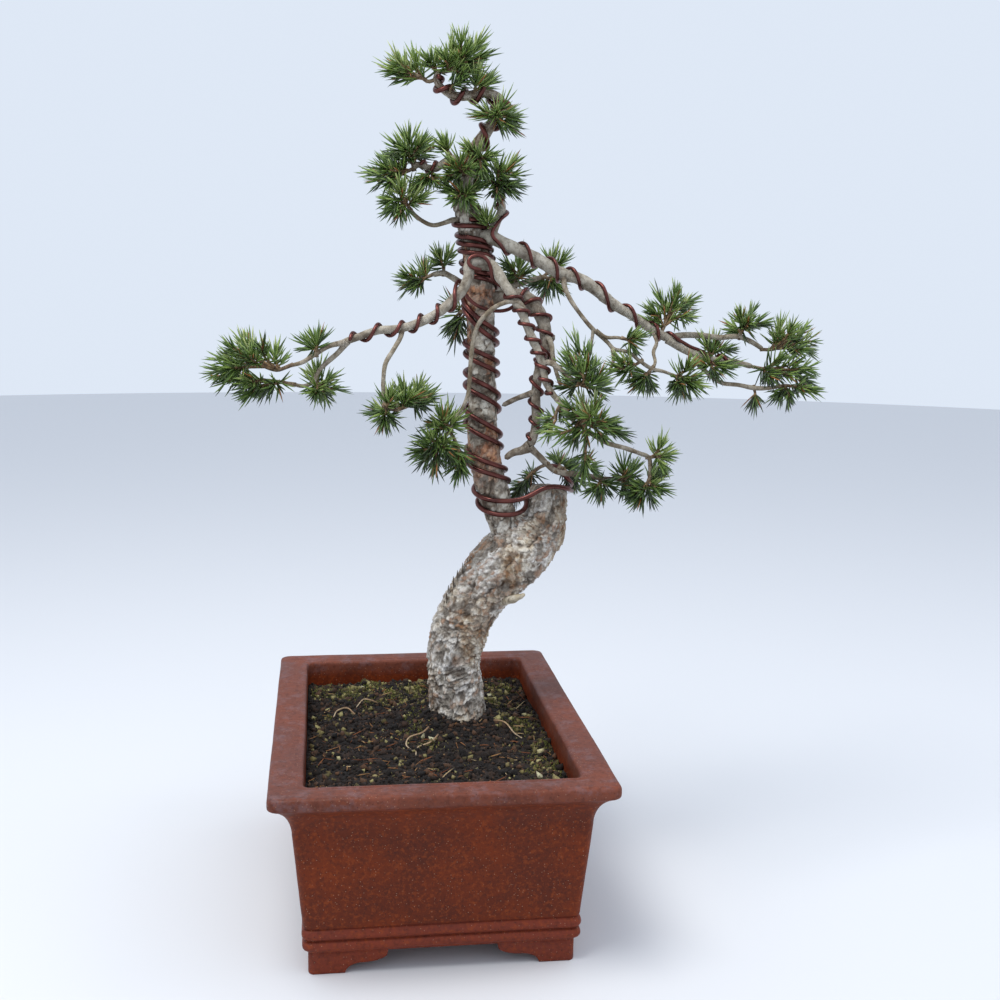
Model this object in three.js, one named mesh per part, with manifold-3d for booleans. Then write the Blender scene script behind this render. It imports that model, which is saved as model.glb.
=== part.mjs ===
// A scots pine bonsai, trained with aluminium wire, in its rectangular clay pot.
// Millimetres, +Z up. The pot's feet stand on Z = 0, and the long side of the pot runs along Y.
import * as THREE from 'three';
import { mergeVertices } from 'three/addons/utils/BufferGeometryUtils.js';
import Module from 'manifold-3d';

const wasm = await Module();
wasm.setup();

// The pot: a rim of 300 x 428, 173 high.
const RIM_WIDTH = 300;
const RIM_LENGTH = 428;
const POT_HEIGHT = 173;
const RIM_FLAT = 30;
const LIP = 11;
const POT_UNDERSIDE = 20;
const FLOOR_TOP = 34;
const BODY_INSET = 28.5;
const COVE_INSET = 20;
const FOOT_INSET = 32.5;
const FOOT_THICKNESS = 17;
const DRAIN_RADIUS = 11;
const DRAIN_OFFSET = 95;
// Half the span of the tunnels between the feet, on the table and at the top.
const END_TUNNEL_FOOT = 85;
const END_TUNNEL_TOP = 48;
const SIDE_TUNNEL_FOOT = 130;
const SIDE_TUNNEL_TOP = 90;

// The soil: level at the walls, mounded round the trunk.
const SOIL_EDGE = 147;
const SOIL_MOUND = 12;
const MOUND_REACH = 75;
const MOUND_CENTRE = [34, 30];

// Neighbouring pieces touch with this much air between them.
const GAP = 0.3;
// Faceted skins are grown by a little more, so that their flat sides too stand off by the gap.
const AIR = 0.45;

// Training wire.
const TRUNK_WIRE = 2.5;
const BRANCH_WIRE = 1.8;
const WIRE_SIDES = 4;
const SETTLING_ROUNDS = 40;

// Needles.
const NEEDLE_LENGTH = 25;
const SHORTEST_NEEDLE = 0.85;
const LONGEST_NEEDLE = 1.1;
const NEEDLE_RADIUS = 0.6;
const NEEDLE_ZONE = 5;
const NEEDLE_ROOM = 1.4;
const OWN_NEEDLE_ROOM = 0.5;
const WIDE_LEAN = 1.1;
const FORWARD_LEAN = 0.5;
const GOLDEN_ANGLE = Math.PI * (3 - Math.sqrt(5));

// The plant is read from the middle of the pot; the whole is set so that the origin is the middle
// of everything's outline, on the surface that the pot stands on.
const POT_OFF_CENTRE = 105;

const UP = new THREE.Vector3(0, 0, 1);
const TOWARDS_VIEWER = new THREE.Vector3(0, -1, 0);
const vec = (p) => new THREE.Vector3(p[0], p[1], p[2]);
const mix = THREE.MathUtils.lerp;

// Every limb of the wood, from its root outwards: x, y, z and radius.
const LIMBS = {
  trunk: [
    [35, 30, 135, 30.5], [33, 30, 162, 27.5], [30, 30, 195, 27], [28, 30, 222, 26.5],
    [32, 30, 242, 28], [42, 30, 266, 28], [55, 30, 288, 29.5], [74, 30, 311, 32.5],
    [96, 30, 332, 33], [115, 30, 352, 27], [121, 30, 372, 20], [123, 30, 394, 18],
  ],
  upper: [
    [90, 30, 336, 18], [76, 28, 362, 15.5], [66, 26, 389, 15.5], [58, 26, 419, 15.5],
    [55, 28, 450, 15.5], [54, 30, 484, 15], [53, 30, 521, 14.5], [52, 30, 557, 15.5],
    [51, 30, 586, 16], [48, 30, 613, 14], [43, 30, 637, 12], [36, 30, 660, 11], [33, 30, 680, 9.5],
    [38, 30, 699, 7.5], [44, 30, 717, 6.5], [55, 30, 734, 5.5], [62, 32, 745, 5], [68, 34, 755, 5],
    [69, 34, 763, 5], [63, 32, 768, 4.5], [52, 30, 770, 4.5], [39, 29, 767, 4.5], [25, 28, 766, 4],
    [13, 28, 772, 3.5], [7, 28, 780, 3], [8, 28, 786, 2.6],
  ],
  left: [
    [49, 22, 607, 6], [55, 8, 612, 6], [45, -1, 614, 6], [37, -3, 610, 6], [36, -4, 599, 6],
    [31, -6, 588, 5.5], [20, -9, 576, 5.5], [7, -12, 565, 5], [-10, -15, 556, 5],
    [-29, -18, 550, 4.5], [-50, -21, 548, 4.5], [-68, -24, 542, 4], [-82, -26, 537, 3.5],
  ],
  left_up: [
    [-80, -26, 537, 3.5], [-94, -28, 534, 2.9], [-106, -30, 527, 2.7], [-119, -32, 519, 2.6],
    [-130, -34, 516, 2.3],
  ],
  left_low: [
    [-78, -26, 538, 3.5], [-86, -24, 528, 2.9], [-96, -22, 519, 2.8], [-104, -22, 511, 2.6],
    [-109, -24, 501, 2.4], [-118, -27, 497, 2.2], [-128, -30, 499, 2],
  ],
  hanging: [
    [-27, -18, 550, 2.8], [-29, -22, 542, 2.6], [-36, -25, 530, 2.5], [-43, -27, 518, 2.5],
    [-45, -28, 503, 2.3], [-45, -28, 490, 2], [-43, -28, 479, 1.9],
  ],
  front: [
    [52, 14, 611, 5.5], [59, 4, 609, 6], [68, -4, 595, 5.5], [77, -9, 581, 5.5], [85, -13, 568, 5],
    [90, -16, 554, 4.5], [96, -19, 540, 4.5], [101, -22, 528, 4.5], [105, -25, 515, 4],
    [107, -28, 502, 4], [112, -31, 493, 3.5], [119, -34, 484, 3],
  ],
  dark: [
    [55, 30, 577, 8], [70, 26, 579, 7.5], [85, 20, 582, 7.5], [95, 16, 579, 7.5],
    [103, 12, 570, 7.5], [110, 9, 557, 7.5], [112, 6, 542, 6.5], [111, 4, 528, 6],
    [107, 3, 515, 6], [104, 3, 500, 5.5], [103, 3, 482, 5], [104, 3, 465, 5], [102, 3, 449, 5],
    [98, 3, 437, 4.5],
  ],
  dark_inner: [
    [98, 3, 437, 4.5], [91, 5, 433, 4], [82, 8, 430, 3.5], [75, 11, 424, 2.9],
  ],
  dark_low: [
    [98, 3, 436, 3.5], [106, 2, 429, 3], [115, 1, 420, 3], [124, 0, 413, 3], [137, -2, 411, 2.9],
    [151, -4, 410, 2.7], [166, -6, 407, 2.5], [184, -8, 406, 2],
  ],
  dark_side: [
    [102, 3, 489, 3.5], [94, 4, 487, 2.7], [82, 6, 482, 2.5], [71, 9, 476, 2.3],
  ],
  arch: [
    [88, -13, 568, 2.8], [83, -14, 575, 2.8], [74, -13, 576, 2.8], [63, -10, 572, 2.7],
    [53, -7, 564, 2.6], [45, -4, 553, 2.6], [41, -3, 538, 2.6], [39, -3, 521, 2.5],
    [38, -3, 502, 2.5], [36, -4, 486, 2.4], [30, -6, 473, 2.3], [22, -8, 464, 2.1],
    [19, -10, 453, 1.9],
  ],
  right: [
    [46, 30, 634, 7.5], [59, 22, 636, 7.5], [71, 20, 631, 7.5], [85, 20, 625, 7.5],
    [101, 22, 618, 7.5], [118, 24, 609, 7.5], [131, 26, 602, 7.5], [146, 28, 599, 7],
    [159, 30, 592, 7], [173, 32, 582, 6.5], [189, 34, 571, 6], [204, 36, 563, 5.5],
    [219, 38, 553, 5.5], [234, 40, 545, 5], [247, 41, 538, 4.5],
  ],
  right_up: [
    [242, 41, 541, 4], [257, 44, 544, 4], [277, 47, 544, 4], [299, 50, 542, 3.5],
    [318, 52, 543, 3.5], [333, 54, 538, 3], [347, 56, 530, 2.7],
  ],
  right_mid: [
    [242, 41, 540, 4.5], [257, 41, 531, 4.5], [271, 42, 525, 4.5], [287, 43, 520, 4.5],
    [302, 44, 519, 4], [317, 45, 517, 3.5], [333, 46, 513, 2.9],
  ],
  right_low: [
    [272, 42, 518, 3], [285, 40, 506, 2.8], [299, 38, 497, 2.8], [316, 38, 495, 2.8],
    [333, 38, 492, 2.8], [350, 38, 492, 2.6], [360, 38, 494, 2.2],
  ],
  drooping: [
    [131, 24, 601, 4], [132, 16, 589, 3.5], [137, 10, 577, 3], [146, 6, 564, 3], [156, 3, 552, 3],
    [164, 2, 545, 3], [172, 1, 538, 2.9], [178, 0, 532, 2.9], [192, 0, 529, 2.7],
    [205, 2, 520, 2.7], [217, 4, 513, 2.7], [230, 6, 510, 2.5], [241, 8, 506, 2.2],
  ],
  drooping_twig_a: [
    [160, 2, 549, 2.3], [170, 0, 543, 1.9], [180, -2, 543, 1.7], [187, -4, 542, 1.4],
  ],
  drooping_twig_b: [
    [177, 0, 532, 1.9], [177, -3, 521, 1.7], [173, -6, 510, 1.4],
  ],
  drooping_twig_c: [
    [158, 3, 550, 1.7], [156, 0, 538, 1.5], [154, -6, 525, 1.3],
  ],
  curly: [
    [223, 38, 551, 2.2], [227, 34, 543, 2.2], [228, 30, 537, 2.1], [224, 26, 528, 2.1],
    [224, 18, 519, 2], [220, 10, 513, 2],
  ],
  front_up: [
    [103, -22, 518, 2.8], [110, -26, 520, 2.8], [118, -30, 516, 2.6], [127, -34, 508, 2.4],
    [134, -37, 503, 2.1],
  ],
  side_stem: [
    [113, 2, 544, 2.9], [116, -4, 536, 2.5], [117, -8, 525, 2.3], [120, -12, 510, 2.1],
    [124, -17, 497, 1.9],
  ],
  front_end: [
    [117, -33, 487, 2.6], [121, -35, 482, 2.4], [127, -38, 473, 2.3], [134, -41, 465, 2.1],
  ],
  low_long: [
    [134, -41, 465, 2.3], [150, -40, 454, 2.3], [166, -36, 445, 2.3], [183, -32, 440, 2.3],
    [200, -29, 434, 2.1], [209, -27, 430, 2.1], [211, -27, 421, 2], [210, -28, 410, 1.7],
  ],
  left_back: [
    [43, 32, 588, 4], [35, 44, 592, 3.5], [26, 54, 598, 3], [18, 60, 602, 3], [7, 66, 600, 2.6],
  ],
  right_back: [
    [63, 36, 584, 4], [77, 48, 588, 3], [90, 58, 591, 2.8], [105, 66, 596, 2.6],
    [119, 72, 600, 2.2],
  ],
  upright: [
    [58, 24, 634, 5.5], [62, 24, 643, 5.5], [66, 25, 652, 5], [70, 26, 660, 5], [70, 26, 668, 4.5],
    [66, 25, 675, 4], [64, 24, 680, 3],
  ],
  upper_left: [
    [39, 30, 699, 5], [31, 25, 705, 4.5], [22, 20, 708, 4.5], [14, 17, 704, 4], [6, 15, 698, 4],
    [-3, 14, 699, 3.5], [-11, 14, 701, 3.5], [-16, 14, 697, 2.8],
  ],
  thin_left: [
    [37, 30, 650, 3.5], [25, 26, 652, 2.9], [16, 22, 649, 2.6], [4, 18, 646, 2.5],
    [-7, 14, 650, 2.4], [-15, 11, 656, 2.2], [-19, 9, 661, 2.1],
  ],
  dark_curl: [
    [112, 4, 540, 2.9], [117, 2, 544, 2.7], [120, 1, 540, 2.5],
  ],
  dark_stub: [
    [111, 4, 528, 2.9], [102, 0, 531, 2.5],
  ],
};

// Every needled spray: one or more boughs from the same root. A bough is a bare stem that starts
// inside the wood, and the tips of the shoots that fan out from the stem's end.
const SPRAYS = {
  crown_left: [
    {
      stem: [[8, 28, 781], [-1, 27, 778], [-8, 26, 782], [-17, 25, 785]],
      tips: [[-29, 18, 793], [-27, 36, 791], [-23, 26, 781], [-13, 30, 796], [-35, 22, 786]],
    },
  ],
  crown_top: [
    {
      stem: [[9, 28, 787], [18, 27, 788], [25, 26, 793]],
      tips: [
        [15, 16, 798], [22, 30, 808], [30, 22, 814], [33, 10, 803], [46, 28, 814], [50, 20, 802],
        [43, 34, 796], [39, 20, 786], [30, 44, 801], [29, 8, 783], [44, 44, 811],
      ],
    },
    {
      stem: [[8, 28, 786], [5, 27, 789]],
      tips: [[-1, 22, 795], [8, 34, 800]],
    },
  ],
  crown_low: [
    {
      stem: [[20, 27, 767], [20, 22, 772]],
      tips: [[26, 16, 777]],
    },
  ],
  crown_mid: [
    {
      stem: [[43, 29, 768], [43, 22, 773]],
      tips: [[45, 18, 778], [54, 28, 778]],
    },
  ],
  crown_right: [
    {
      stem: [[61, 30, 745], [63, 20, 748]],
      tips: [[68, 14, 756], [77, 16, 746], [52, 16, 750], [62, 4, 750], [75, 24, 741]],
    },
  ],
  upper_left_top: [
    {
      stem: [[-15, 14, 698], [-17, 13, 705]],
      tips: [
        [-31, 4, 715], [-33, 22, 710], [-20, 14, 723], [-9, 2, 718], [-4, 24, 714], [-23, -6, 711],
      ],
    },
  ],
  upper_left_end: [
    {
      stem: [[-16, 14, 697], [-24, 12, 693]],
      tips: [[-43, 2, 696], [-49, 12, 685], [-38, 22, 703], [-38, -2, 682], [-51, 24, 693]],
    },
  ],
  thin_left_end: [
    {
      stem: [[-19, 9, 661], [-23, 6, 666]],
      tips: [
        [-40, -6, 666], [-37, 12, 659], [-28, -4, 678], [-15, 14, 680], [-29, -8, 654],
        [-13, 2, 668],
      ],
    },
  ],
  upper_left_small_a: [
    {
      stem: [[22, 20, 709], [18, 17, 714]],
      tips: [[14, 14, 720]],
    },
  ],
  upper_left_small_b: [
    {
      stem: [[4, 15, 699], [0, 11, 693]],
      tips: [[-5, 7, 687], [3, 2, 686]],
    },
  ],
  centre_upper: [
    {
      stem: [[37, 28, 693], [30, 13, 695]],
      tips: [[19, 2, 701], [16, 8, 691], [27, -3, 705], [35, -7, 697]],
    },
  ],
  centre_lower: [
    {
      stem: [[34, 30, 674], [32, 12, 676]],
      tips: [[23, 0, 670], [34, -6, 669], [42, 4, 681], [18, 10, 680]],
    },
  ],
  centre_right: [
    {
      stem: [[45, 28, 714], [47, 14, 708]],
      tips: [[37, 6, 715], [53, 4, 708], [46, 0, 696]],
    },
  ],
  upright_head: [
    {
      stem: [[64, 24, 680], [64, 18, 686]],
      tips: [
        [80, 6, 693], [73, 0, 680], [62, 0, 675], [77, 16, 703], [54, 8, 688], [64, -2, 699],
        [83, 24, 686],
      ],
    },
  ],
  upright_small: [
    {
      stem: [[62, 24, 643], [57, 19, 646]],
      tips: [[54, 14, 651]],
    },
  ],
  back_left_near: [
    {
      stem: [[18, 60, 602], [19, 62, 610]],
      tips: [[13, 56, 618], [24, 70, 618]],
    },
  ],
  back_left_far: [
    {
      stem: [[7, 66, 600], [-1, 70, 596]],
      tips: [[-17, 66, 598], [-15, 78, 591], [-8, 64, 588], [0, 80, 605]],
    },
  ],
  behind_left: [
    {
      stem: [[42, 36, 565], [33, 48, 564]],
      tips: [[30, 50, 543], [25, 60, 550], [36, 66, 548], [27, 56, 572]],
    },
  ],
  back_right_near: [
    {
      stem: [[90, 58, 591], [92, 62, 598]],
      tips: [[83, 56, 610], [95, 72, 613], [99, 58, 602], [87, 72, 596]],
    },
  ],
  back_right_far: [
    {
      stem: [[119, 72, 600], [127, 76, 599]],
      tips: [[124, 80, 590], [134, 72, 591], [139, 90, 600], [115, 84, 594]],
    },
    {
      stem: [[119, 72, 600], [129, 80, 606]],
      tips: [[131, 84, 619], [139, 80, 615]],
    },
  ],
  left_end_top: [
    {
      stem: [[-130, -34, 516], [-142, -36, 512], [-155, -37, 516]],
      tips: [
        [-172, -30, 536], [-180, -48, 532], [-165, -16, 535], [-154, -52, 534], [-144, -24, 527],
        [-189, -34, 521], [-184, -56, 515], [-164, -64, 526], [-176, -8, 523], [-194, -42, 510],
      ],
    },
  ],
  left_end_low: [
    {
      stem: [[-128, -30, 499], [-139, -32, 501], [-154, -32, 503]],
      tips: [
        [-183, -24, 506], [-189, -40, 503], [-171, -18, 494], [-164, -38, 492], [-156, -22, 493],
        [-146, -44, 498], [-167, -52, 502],
      ],
    },
  ],
  left_top_small: [
    {
      stem: [[-106, -30, 527], [-106, -31, 531]],
      tips: [[-104, -32, 538], [-113, -26, 534]],
    },
  ],
  left_low_tuft: [
    {
      stem: [[-109, -24, 501], [-104, -20, 497]],
      tips: [
        [-96, -12, 502], [-90, -22, 494], [-107, -34, 492], [-99, -8, 486], [-106, -12, 507],
      ],
    },
  ],
  hanging_end: [
    {
      stem: [[-43, -28, 479], [-43, -28, 475]],
      tips: [[-50, -20, 473], [-45, -32, 466], [-37, -20, 466], [-39, -38, 487]],
    },
  ],
  hanging_right: [
    {
      stem: [[-43, -28, 479], [-34, -26, 475], [-22, -20, 478], [-14, -16, 482]],
      tips: [[-10, -24, 490], [0, -8, 487], [-11, -6, 494], [-5, -4, 479]],
    },
    {
      stem: [[-43, -28, 479], [-35, -24, 478], [-25, -20, 480]],
      tips: [[-26, -12, 490], [-21, -30, 486], [-31, -8, 487]],
    },
  ],
  arch_top: [
    {
      stem: [[19, -10, 453], [15, -10, 457]],
      tips: [[10, -16, 468], [18, 0, 468], [4, -4, 459], [24, -4, 462], [6, -22, 456]],
    },
  ],
  arch_left: [
    {
      stem: [[19, -10, 453], [12, -14, 447], [7, -16, 441]],
      tips: [
        [-6, -8, 444], [-10, -24, 437], [-1, -30, 447], [-6, -12, 425], [5, -28, 427],
        [13, -34, 439], [4, -10, 419], [18, -20, 432],
      ],
    },
  ],
  arch_right: [
    {
      stem: [[19, -10, 453], [24, -10, 444], [28, -10, 433]],
      tips: [[24, -2, 427], [30, -14, 419], [35, -2, 425], [25, -20, 416]],
    },
  ],
  front_upper: [
    {
      stem: [[134, -37, 503], [140, -40, 499]],
      tips: [
        [128, -34, 528], [138, -22, 534], [141, -50, 527], [122, -56, 519], [153, -28, 515],
        [152, -50, 506], [132, -64, 516], [158, -34, 496], [128, -30, 498],
      ],
    },
  ],
  front_middle: [
    {
      stem: [[134, -41, 465], [142, -46, 465]],
      tips: [
        [126, -52, 480], [142, -36, 481], [150, -52, 482], [156, -64, 470], [168, -44, 464],
        [172, -54, 457], [155, -66, 454], [141, -60, 450], [131, -46, 449], [116, -58, 456],
        [141, -72, 475],
      ],
    },
    {
      stem: [[142, -46, 465], [144, -45, 450], [144, -39, 437], [144, -35, 426]],
      tips: [[153, -30, 420], [144, -36, 418]],
    },
  ],
  front_left: [
    {
      stem: [[121, -35, 482], [116, -40, 475], [115, -42, 467]],
      tips: [[108, -30, 464], [107, -44, 456], [127, -30, 471]],
    },
  ],
  right_upper: [
    {
      stem: [[234, 40, 545], [239, 44, 553], [243, 47, 561]],
      tips: [
        [225, 40, 567], [223, 54, 557], [237, 56, 579], [251, 48, 586], [266, 58, 577],
        [257, 36, 563], [252, 66, 571], [271, 66, 561],
      ],
    },
  ],
  right_small: [
    {
      stem: [[187, -4, 542], [190, -5, 541]],
      tips: [[197, -8, 544], [197, -2, 534]],
    },
  ],
  right_far_top: [
    {
      stem: [[320, 52, 543], [324, 54, 551]],
      tips: [[318, 48, 562], [334, 62, 567], [342, 52, 556], [317, 64, 551], [325, 38, 557]],
    },
  ],
  right_far_upper: [
    {
      stem: [[347, 56, 530], [358, 58, 530], [369, 60, 534]],
      tips: [
        [364, 60, 552], [374, 50, 553], [393, 66, 550], [398, 56, 539], [382, 44, 531],
        [381, 78, 543], [402, 74, 529],
      ],
    },
  ],
  right_far_middle: [
    {
      stem: [[333, 46, 513], [344, 46, 511], [356, 46, 511]],
      tips: [
        [357, 34, 521], [378, 48, 517], [387, 36, 511], [395, 52, 498], [366, 26, 505],
        [364, 60, 499], [346, 34, 504],
      ],
    },
  ],
  right_far_lower: [
    {
      stem: [[360, 38, 494], [367, 36, 495]],
      tips: [[384, 44, 489], [367, 30, 483], [361, 44, 485], [387, 21, 491]],
    },
  ],
  right_under: [
    {
      stem: [[333, 38, 492], [334, 37, 487]],
      tips: [[334, 36, 481]],
    },
  ],
  right_inner_top: [
    {
      stem: [[287, 43, 520], [291, 50, 525]],
      tips: [[295, 54, 533], [310, 58, 529], [282, 44, 534]],
    },
  ],
  right_inner_lower: [
    {
      stem: [[287, 43, 520], [287, 38, 514]],
      tips: [[278, 30, 516], [290, 36, 509], [302, 34, 513]],
    },
  ],
  drooping_near: [
    {
      stem: [[205, 2, 520], [198, -2, 516]],
      tips: [[184, -8, 521], [189, 0, 511], [178, -14, 514]],
    },
  ],
  drooping_middle: [
    {
      stem: [[217, 4, 513], [212, 2, 508]],
      tips: [[207, -4, 501], [217, 8, 498], [204, 6, 504]],
    },
  ],
  drooping_end: [
    {
      stem: [[241, 8, 506], [246, 9, 505]],
      tips: [
        [253, 2, 516], [264, 16, 505], [256, 2, 495], [250, 16, 492], [262, -2, 497],
        [240, -2, 498],
      ],
    },
  ],
  low_inner_left: [
    {
      stem: [[115, 1, 420], [109, 16, 414], [104, 34, 406]],
      tips: [[106, 52, 399], [96, 48, 390], [100, 62, 387], [90, 50, 380]],
    },
  ],
  low_inner_right: [
    {
      stem: [[124, 0, 413], [131, 16, 415], [138, 34, 411]],
      tips: [[133, 44, 420], [148, 46, 411], [154, 40, 397], [151, 54, 390]],
    },
  ],
  low_middle: [
    {
      stem: [[166, -6, 407], [167, -6, 402]],
      tips: [[160, -10, 398], [170, 0, 390], [174, -12, 401]],
    },
  ],
  low_end: [
    {
      stem: [[184, -8, 406], [189, -9, 405]],
      tips: [[188, -14, 417], [199, -2, 413], [196, -16, 403], [192, -4, 395]],
    },
  ],
  low_long_end: [
    {
      stem: [[210, -28, 410], [208, -28, 404]],
      tips: [
        [201, -22, 399], [200, -34, 392], [214, -24, 390], [220, -34, 401], [220, -20, 411],
        [193, -30, 395],
      ],
    },
  ],
  low_long_side: [
    {
      stem: [[209, -27, 430], [218, -28, 431]],
      tips: [[218, -34, 442], [226, -24, 431], [220, -34, 424]],
    },
  ],
};

// A closed skin over rings of equal length, with a flat or pointed cap at each end.
function skin(rings, closed = false) {
  const n = rings[0].length;
  const position = rings.flat(2);
  const index = [];
  const last = closed ? rings.length : rings.length - 1;
  for (let i = 0; i < last; i++) {
    const a = i * n;
    const b = ((i + 1) % rings.length) * n;
    for (let j = 0; j < n; j++) {
      const k = (j + 1) % n;
      index.push(a + j, a + k, b + k, a + j, b + k, b + j);
    }
  }
  if (!closed) {
    const top = (rings.length - 1) * n;
    for (let j = 1; j < n - 1; j++) {
      index.push(0, j + 1, j, top, top + j, top + j + 1);
    }
  }
  const geometry = new THREE.BufferGeometry();
  geometry.setAttribute('position', new THREE.Float32BufferAttribute(position, 3));
  geometry.setIndex(index);
  return geometry;
}

// A geometry as a solid that can be joined and cut, and back again.
function solid(geometry) {
  const bare = geometry.clone();
  bare.deleteAttribute('normal');
  bare.deleteAttribute('uv');
  const merged = mergeVertices(bare, 1e-4);
  return new wasm.Manifold(new wasm.Mesh({
    numProp: 3,
    vertProperties: Float32Array.from(merged.attributes.position.array),
    triVerts: Uint32Array.from(merged.index.array),
  }));
}

function geometryOf(body) {
  const mesh = body.getMesh();
  const geometry = new THREE.BufferGeometry();
  geometry.setAttribute('position', new THREE.BufferAttribute(mesh.vertProperties, 3));
  geometry.setIndex(new THREE.BufferAttribute(mesh.triVerts, 1));
  return geometry;
}

const join = (solids) => solids.reduce((all, one) => all.add(one));

// Only the largest body of a cut solid is kept: loose scraps are dropped.
function largest(body) {
  const bodies = body.decompose();
  return bodies.reduce((best, one) => (one.volume() > best.volume() ? one : best));
}

// A direction at right angles to a stalk, from which its rings are counted.
function startAcross(along) {
  const reference = Math.abs(along.z) > 0.9 ? new THREE.Vector3(1, 0, 0) : UP;
  return reference.clone().addScaledVector(along, -reference.dot(along)).normalize();
}

// Rings of a round or faceted stalk along stations of x, y, z, r, carried on without twisting.
function stalk(stations, sides, relief = () => 0) {
  const centres = stations.map(vec);
  const rings = [];
  let across = null;
  let run = 0;
  centres.forEach((centre, i) => {
    const before = centres[Math.max(i - 1, 0)];
    const after = centres[Math.min(i + 1, centres.length - 1)];
    const along = after.clone().sub(before).normalize();
    across = (across ?? startAcross(along)).clone();
    across.addScaledVector(along, -across.dot(along)).normalize();
    const other = along.clone().cross(across);
    run += i ? centre.distanceTo(centres[i - 1]) : 0;
    const ring = [];
    for (let j = 0; j < sides; j++) {
      const angle = (2 * Math.PI * j) / sides;
      const radius = stations[i][3] + relief(angle, run, centre.z);
      const point = centre.clone();
      point.addScaledVector(across, radius * Math.cos(angle));
      point.addScaledVector(other, radius * Math.sin(angle));
      ring.push([point.x, point.y, point.z]);
    }
    rings.push(ring);
  });
  return skin(rings);
}

// Smooth stations between the control points of a limb, `steps` to each span.
function smooth(points, steps) {
  if (steps === 1) return points;
  const curve = new THREE.CatmullRomCurve3(points.map(vec), false, 'centripetal');
  const spans = points.length - 1;
  const stations = [];
  for (let i = 0; i <= spans * steps; i++) {
    const t = i / (spans * steps);
    const span = Math.min(Math.floor(i / steps), spans - 1);
    const p = curve.getPoint(t);
    stations.push([p.x, p.y, p.z, mix(points[span][3], points[span + 1][3], i / steps - span)]);
  }
  return stations;
}

// Flaky bark: long plates on the old lower trunk, hardly any higher up where the wire lies.
const OLD_BARK_TOP = 350;
const OLD_BARK_DEPTH = 2.2;
const YOUNG_BARK_DEPTH = 0.5;
const isTrunk = (name) => name === 'trunk' || name === 'upper';

function barkDepth(name, z) {
  if (!isTrunk(name)) return 0;
  return z < OLD_BARK_TOP ? OLD_BARK_DEPTH : YOUNG_BARK_DEPTH;
}

function bark(name) {
  return (angle, run, z) => {
    const plates = Math.sin(3 * angle + run * 0.05) * Math.sin(run * 0.19 + 2 * angle);
    return barkDepth(name, z) * plates;
  };
}

const limbSteps = (name) => (name === 'trunk' ? 2 : 1);

// Stations grown all round by some air, also past both ends.
function grown(stations, air) {
  const wider = stations.map(([x, y, z, r]) => [x, y, z, r + air]);
  for (const [end, inner] of [[0, 1], [stations.length - 1, stations.length - 2]]) {
    const past = vec(stations[end]).sub(vec(stations[inner])).setLength(air);
    wider[end] = [...vec(stations[end]).add(past), wider[end][3]];
  }
  return wider;
}

function limbSolid(name, air) {
  const stations = grown(smooth(LIMBS[name], limbSteps(name)), air);
  const thick = Math.max(...stations.map((s) => s[3]));
  const sides = name === 'trunk' ? 12 : name === 'upper' ? 9 : thick > 5 ? 5 : 4;
  return solid(stalk(stations, sides, bark(name)));
}

const wood = join(Object.keys(LIMBS).map((name) => limbSolid(name, 0)));
const woodWithAir = join(Object.keys(LIMBS).map((name) => limbSolid(name, AIR)));

// Straight pieces with a radius stand for everything that a wire or a needle has to keep clear of.
function pieces(stations, owner) {
  const list = [];
  for (let i = 0; i + 1 < stations.length; i++) {
    const [a, b] = [stations[i], stations[i + 1]];
    list.push({ owner, a: vec(a), b: vec(b), ra: a[3], rb: b[3] });
  }
  return list;
}

const woodPieces = Object.keys(LIMBS).flatMap((name) => {
  const stations = smooth(LIMBS[name], limbSteps(name));
  return pieces(stations.map(([x, y, z, r]) => [x, y, z, r + barkDepth(name, z)]), name);
});

// How far a wire's middle keeps from the surface it lies on.
const wireRoom = (gauge) => gauge * 1.05 + 1.6 * GAP;

// A wire laid on the wood: its points, and the middles between them, are pushed out until the wire
// clears whatever is near it.
function settle(points, gauge, obstacles) {
  const near = new THREE.Vector3();
  const line = new THREE.Line3();
  const push = (point) => {
    const shift = new THREE.Vector3();
    for (const { a, b, ra, rb } of obstacles) {
      const t = line.set(a, b).closestPointToPointParameter(point, true);
      line.at(t, near);
      const room = mix(ra, rb, t) + wireRoom(gauge);
      const away = point.clone().add(shift).sub(near);
      const lack = room - away.length();
      if (lack > 0) shift.addScaledVector(away.normalize(), lack);
    }
    return shift;
  };
  for (let round = 0; round < SETTLING_ROUNDS; round++) {
    for (let i = 0; i < points.length; i++) {
      points[i].add(push(points[i]));
      if (i) {
        const shift = push(points[i].clone().add(points[i - 1]).multiplyScalar(0.5));
        points[i].add(shift);
        points[i - 1].add(shift);
      }
    }
  }
  return points;
}

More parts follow.
